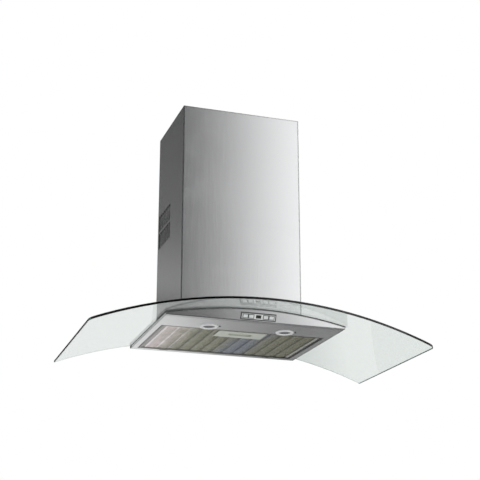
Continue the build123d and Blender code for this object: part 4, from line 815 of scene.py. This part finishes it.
def filter_ribs(settings):
    """The pressed ribs between the bands, one strip each from back to front."""
    low, high, plate = filter_bounds()
    half_rib = 1.2 * settings.strand
    foot, head = low.z + 0.6 * settings.bow, low.z + settings.bow + 2 * settings.strand
    shape = bmesh.new()
    for k in range(RIB_COUNT):
        x = (k + 0.5) * rib_pitch(high.x) - high.x
        front = plate.y if abs(x) < plate.x + half_rib else low.y
        add_block(shape, (x - half_rib, front, foot), (x + half_rib, high.y, head))
    return shape


def painted_shadow_frames(settings):
    """Thin black frames round the four keys and the plate's rim, flat on the leaning plate: painted shadow of
    their gaps.
    """
    inward = Vector(next(j["axis"] for j in frame["joints"] if j["name"] == "lamp_press")).normalized()
    across = Vector((1, 0, 0))
    turn = Matrix((across, across.cross(inward), -inward)).transposed()
    corners = {name: [turn.transposed() @ v.co for v in frame["nodes"][name].data.vertices]
               for name in ("control_plate", *KEYS)}
    face = max(p.z for p in corners["control_plate"])
    width = settings.shadow_frame_width
    shape = bmesh.new()
    for name, points in corners.items():
        gap = settings.shadow_frame_gap
        if name == "control_plate":
            gap = -width
        else:
            points = [p for p in points if p.z > face]
        left, right = min(p.x for p in points) - gap, max(p.x for p in points) + gap
        foot, head = min(p.y for p in points) - gap, max(p.y for p in points) + gap
        outer_left, outer_right = left - width, right + width
        for low, high in (((outer_left, foot - width), (outer_right, foot)),
                          ((outer_left, head), (outer_right, head + width)),
                          ((outer_left, foot), (left, head)), ((right, foot), (outer_right, head))):
            add_block(shape, (*low, face), (*high, face + settings.shadow_frame_height), turn)
    return shape


# ----------------------------------------------------------------- operators

class HOOD_OT_glass(bpy.types.Operator):
    """Gives the canopy its tinted glass"""
    bl_idname = "hood.glass"
    bl_label = "Glass Canopy"

    def execute(self, context):
        wear_finish(clear_glass, "glass_canopy")
        return {"FINISHED"}


class HOOD_OT_seals(bpy.types.Operator):
    """Gives the seals and grommets their rubber"""
    bl_idname = "hood.seals"
    bl_label = "Seals"

    def execute(self, context):
        wear_finish(seal_rubber, "glass_seal", "tower_seal", "chimney_seal", "glass_grommets")
        return {"FINISHED"}


class HOOD_OT_body(bpy.types.Operator):
    """Brushes the body, its front panel and underside from side to side"""
    bl_idname = "hood.body"
    bl_label = "Body"

    def execute(self, context):
        wear_finish(brushed_steel, "body_shell", "underside_plate", "front_panel")
        return {"FINISHED"}


class HOOD_OT_controls(bpy.types.Operator):
    """Finishes the control strip with its plate, display, board and four keys"""
    bl_idname = "hood.controls"
    bl_label = "Controls"

    def execute(self, context):
        wear_finish(housing_plastic, "control_housing")
        wear_finish(display_pane, "display_window")
        wear_finish(circuit_board, "control_board")
        wear_finish(plated_key, "control_plate", *KEYS)
        # Black frames round the keys and the plate: painted shadow of their gaps.
        shadow_strips = painted_shadow_frames(context.scene.hood_controls)
        new_piece("control_shadow_frames", shadow_strips, housing_plastic, "hood", "black_plastic")
        return {"FINISHED"}


class HOOD_OT_lamps(bpy.types.Operator):
    """Finishes the two lamps from bezel to holder"""
    bl_idname = "hood.lamps"
    bl_label = "Lamps"

    def execute(self, context):
        for side in ("left", "right"):
            wear_finish(bright_bezel, f"lamp_bezel_{side}")
            wear_finish(frosted_lens, f"lamp_lens_{side}", f"lamp_capsule_{side}")
            wear_finish(mirror_dish, f"lamp_reflector_{side}")
            wear_finish(lamp_ceramic, f"lamp_holder_{side}")
        wear_finish(blackened_screw, "lamp_screws")
        return {"FINISHED"}


class HOOD_OT_filter(bpy.types.Operator):
    """Builds the grease filter's mesh and finishes its frame and latch"""
    bl_idname = "hood.filter"
    bl_label = "Grease Filter"

    def execute(self, context):
        settings = context.scene.hood_filter
        body_and_slot = "filter", "aluminium_mesh"
        outer = new_piece("filter_expanded_mesh", expanded_mesh(settings), greasy_aluminium, *body_and_slot)
        strands = outer.modifiers.new("Strands", "SOLIDIFY")
        strands.thickness = settings.strand * 0.3
        strands.offset = 1 if outer.data.polygons[0].normal.z > 0 else -1
        new_piece("filter_ribs", filter_ribs(settings), shaded_aluminium, *body_and_slot)
        layers = new_piece("filter_inner_layers", inner_layers(settings), packed_aluminium, *body_and_slot)
        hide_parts("filter_mesh")
        wear_finish(frame_aluminium, "filter_frame")
        wear_finish(anodised_plate, "latch_plate")
        wear_finish(cup_painted_lighter, "latch_slider")
        return {"FINISHED"}


class HOOD_OT_blower(bpy.types.Operator):
    """Finishes the motor box, the fan casing, the wheel and the motor"""
    bl_idname = "hood.blower"
    bl_label = "Blower"

    def execute(self, context):
        wear_finish(galvanised_sheet, "motor_box", "volute_back", "volute_front", "motor_housing",
                    "motor_spider")
        wear_finish(fan_plastic, "impeller")
        wear_finish(rotor_steel, "motor_rotor")
        wear_finish(wound_copper, "motor_stator")
        return {"FINISHED"}


class HOOD_OT_outlet(bpy.types.Operator):
    """Finishes the way out with its adapter, collar and flaps"""
    bl_idname = "hood.outlet"
    bl_label = "Outlet"

    def execute(self, context):
        wear_finish(fan_plastic, "outlet_adapter", "outlet_collar", "flap_left", "flap_right")
        return {"FINISHED"}


class HOOD_OT_electrics(bpy.types.Operator):
    """Finishes the terminal box, gland, capacitor and lamp transformer"""
    bl_idname = "hood.electrics"
    bl_label = "Electrics"

    def execute(self, context):
        wear_finish(electrics_plastic, "terminal_box", "terminal_lid", "capacitor")
        wear_finish(housing_plastic, "cable_gland")
        wear_finish(cored_copper, "lamp_transformer")
        return {"FINISHED"}


class HOOD_OT_chimney(bpy.types.Operator):
    """Brushes the chimney covers upright and coats their brackets with zinc"""
    bl_idname = "hood.chimney"
    bl_label = "Chimney"

    def execute(self, context):
        wear_finish(upright_steel, "chimney_cover", "chimney_extension")
        wear_finish(galvanised_sheet, "chimney_bracket", "rest_brackets")
        return {"FINISHED"}


class HOOD_OT_screws(bpy.types.Operator):
    """Plates the screws, nuts and the flap rod"""
    bl_idname = "hood.screws"
    bl_label = "Screws"

    def execute(self, context):
        wear_finish(zinc_screw, "clamp_screws", "clamp_nuts", "motor_screws", "collar_screws",
                    "flap_rod", "bracket_screws", "chimney_screws")
        return {"FINISHED"}


# --------------------------------------------------------------------- stage

def pale_floor(tree):
    """Matt floor with a faint drift of tone."""
    color = opaque(bpy.context.scene.hood_stage.floor_color)
    skin = effect(tree, moulded_skin, color=color, pits=40.0, drift=0.03, roughness=0.7)
    lay(tree, base_color=skin["Color"], roughness=skin["Roughness"])


def aim(thing, direction):
    """Turns a lamp or card to face a way."""
    thing.rotation_euler = Vector(direction).to_track_quat("-Z", "Y").to_euler()


def soft_light(name, location, target, width, height, power):
    """A rectangular soft light that the camera doesn't see."""
    data = bpy.data.lights.new(name, "AREA")
    data.shape = "RECTANGLE"
    data.size, data.size_y, data.energy = width, height, power
    lamp = new_object(name, data)
    lamp.location = location
    aim(lamp, Vector(target) - lamp.location)
    lamp.visible_camera = False
    return lamp


def flat_piece(name, width, height, material):
    """A flat rectangle of the stage."""
    mesh = bpy.data.meshes.new(name)
    x, y = width / 2, height / 2
    mesh.from_pydata([(-x, -y, 0), (x, -y, 0), (x, y, 0), (-x, y, 0)], [], [(0, 1, 2, 3)])
    mesh.materials.append(material)
    piece = new_object(name, mesh)
    return piece


def reflector_card(name, location, direction, width, height, tones, brightest=1.0, upward=False):
    """A graded card that only metal and glass mirror, as a studio hangs one beside bright steel. Its tones
    are (share of the way, tone) pairs, from right to left as the hood faces it, or from its foot upward."""
    material, tree = blank_material(name)
    generated = add(tree, "ShaderNodeTexCoord").outputs["Generated"]
    graded = add(tree, "ShaderNodeValToRGB", {"Fac": axis(tree, "Y" if upward else "X", generated)})
    stops = graded.color_ramp.elements
    for share, tone in tones:
        stop = stops[-1 if share else 0] if share in (0, 1) else stops.new(share)
        stop.color = (tone, tone, tone, 1)
    surface(tree, add(tree, "ShaderNodeEmission", {"Color": graded.outputs["Color"], "Strength": brightest}))
    tree.nodes.remove(tree.nodes["Principled BSDF"])
    card = flat_piece(name, width, height, material)
    card.location = location
    aim(card, direction)
    card.visible_camera = card.visible_diffuse = card.visible_transmission = False
    card.visible_shadow = card.visible_volume_scatter = False


class HOOD_OT_stage(bpy.types.Operator):
    """Sets the floor, white room, soft lights, cards and camera"""
    bl_idname = "hood.stage"
    bl_label = "Stage"

    def execute(self, context):
        scene, stage = context.scene, context.scene.hood_stage
        scene.view_settings.view_transform = "Standard"
        self.set_floor(stage)
        self.set_room(scene, stage)
        self.set_lights(stage)
        self.set_cards(stage)
        self.set_camera(scene, stage)
        return {"FINISHED"}

    def set_floor(self, stage):
        width = 14
        floor = flat_piece("floor", width, width, finish(pale_floor))
        floor.location.z = stage.floor_height

    def set_room(self, scene, stage):
        room = bpy.data.worlds.new("white_room")
        scene.world = room
        room.use_nodes = True
        tree = room.node_tree
        path = add(tree, "ShaderNodeLightPath").outputs
        mirrored = math_of(tree, "MAXIMUM", path["Is Glossy Ray"], path["Is Transmission Ray"])
        seen = math_of(tree, "MAXIMUM", path["Is Camera Ray"], mirrored)
        feed(tree.nodes["Background"].inputs, color=(1, 1, 1, 1),
             strength=ranged(tree, seen, 0, 1, stage.room_light, 1.0))

    def set_lights(self, stage):
        middle = (0, -0.2, 0.2)
        soft_light("key_light", (2.7, -2.6, 0.9), middle, 1.4, 3.0, stage.key_power)
        top = soft_light("top_light", (-0.4, -0.6, 2.8), middle, 2.0, 2.0, stage.top_power)
        top.visible_glossy = False

    def set_cards(self, stage):
        leftward, rightward, down = (-1, 0, 0), (1, 0, 0), (0, 0, -1)
        forward, backward = (0, -1, 0), (0, 1, 0)
        reflector_card("front_card", (-0.4, -3.4, 0.9), backward, 5.0, 5.0,
                       ((0, 0.3), (0.3, 0.36), (0.52, 0.32), (0.6, 0.18), (0.66, 0.05), (0.7, 0.02),
                        (0.75, 0.15), (0.85, 0.85), (0.92, 1), (1, 1)), brightest=1.7)
        reflector_card("floor_card", (0.6, -2.6, stage.floor_height + 0.01), down, 2.8, 2.0,
                       ((0, 0.3), (0.25, 0.25), (0.4, 0.03), (0.46, 0.03), (0.55, 0.12), (0.65, 0.32),
                        (0.73, 0.65), (0.82, 1), (1, 1)), brightest=1.6)
        reflector_card("back_glass_card", (1.1, 3.0, -0.14), forward, 4.6, 0.68,
                       ((0, 0.05), (0.4, 0.2), (0.52, 0.72), (1, 0.8)), brightest=1.1)
        reflector_card("back_low_card", (1.1, 3.0, -0.8), forward, 4.6, 0.64,
                       ((0, 0.02), (0.3, 0.02), (0.38, 0.22), (0.45, 0.18), (0.52, 0.24), (0.57, 0.5),
                        (0.6, 0.65), (1, 0.65)), brightest=1.5)
        reflector_card("back_foot_card", (0.02, 3.0, -1.36), forward, 2.44, 0.48,
                       ((0, 0.88), (0.35, 0.82), (0.8, 0.2), (1, 0.1)), brightest=1.1, upward=True)
        reflector_card("back_corner_card", (2.34, 3.0, -1.36), forward, 2.2, 0.48,
                       ((0, 0.88), (0.29, 0.83), (0.31, 0.02), (1, 0.02)), brightest=1.1, upward=True)
        reflector_card("back_high_card", (-1.2, 2.6, 1.55), forward, 2.2, 2.7,
                       ((0, 0.04), (0.21, 0.06), (0.29, 0.34), (0.42, 0.17), (1, 0.05)), upward=True)
        reflector_card("left_card", (-3.0, 0, 1.7), rightward, 5.2, 1.9, ((0, 0.02), (1, 0.02)))
        reflector_card("right_card", (3.0, 1.3, 1.7), leftward, 2.6, 1.9, ((0, 0.2), (0.5, 0.55), (1, 0.3)))

    def set_camera(self, scene, stage):
        data = bpy.data.cameras.new("photo_camera")
        data.lens = stage.lens
        camera = new_object("photo_camera", data)
        camera.location = stage.camera_place
        camera.rotation_euler = stage.camera_turn
        scene.camera = camera


class HOOD_PT_panel(bpy.types.Panel):
    """Lists the hood's pieces and their settings"""
    bl_label = "Range Hood"
    bl_idname = "HOOD_PT_panel"
    bl_space_type = "VIEW_3D"
    bl_region_type = "UI"
    bl_category = "Range Hood"

    def draw(self, context):
        for step in STEPS:
            self.layout.operator(step.bl_idname)
        for name in SETTINGS:
            box = self.layout.box()
            group = getattr(context.scene, name)
            for label in group.__annotations__:
                box.prop(group, label)


STEPS = (HOOD_OT_glass, HOOD_OT_seals, HOOD_OT_body, HOOD_OT_controls, HOOD_OT_lamps, HOOD_OT_filter,
         HOOD_OT_blower, HOOD_OT_outlet, HOOD_OT_electrics, HOOD_OT_chimney, HOOD_OT_screws, HOOD_OT_stage)
SETTINGS = {"hood_glass": GlassSettings, "hood_metal": MetalSettings, "hood_plastic": PlasticSettings,
            "hood_filter": FilterSettings, "hood_controls": ControlSettings, "hood_stage": StageSettings}


def register():
    for name, group in SETTINGS.items():
        bpy.utils.register_class(group)
        setattr(bpy.types.Scene, name, bpy.props.PointerProperty(type=group))
    for cls in (*STEPS, HOOD_PT_panel):
        bpy.utils.register_class(cls)


def unregister():
    for cls in (HOOD_PT_panel, *reversed(STEPS)):
        bpy.utils.unregister_class(cls)
    for name, group in reversed(SETTINGS.items()):
        delattr(bpy.types.Scene, name)
        bpy.utils.unregister_class(group)


def main():
    register()
    bpy.ops.hood.glass()
    bpy.ops.hood.seals()
    bpy.ops.hood.body()
    bpy.ops.hood.controls()
    bpy.ops.hood.lamps()
    bpy.ops.hood.filter()
    bpy.ops.hood.blower()
    bpy.ops.hood.outlet()
    bpy.ops.hood.electrics()
    bpy.ops.hood.chimney()
    bpy.ops.hood.screws()
    bpy.ops.hood.stage()
    bpy.context.view_layer.update()


if __name__ == "__main__":
    main()
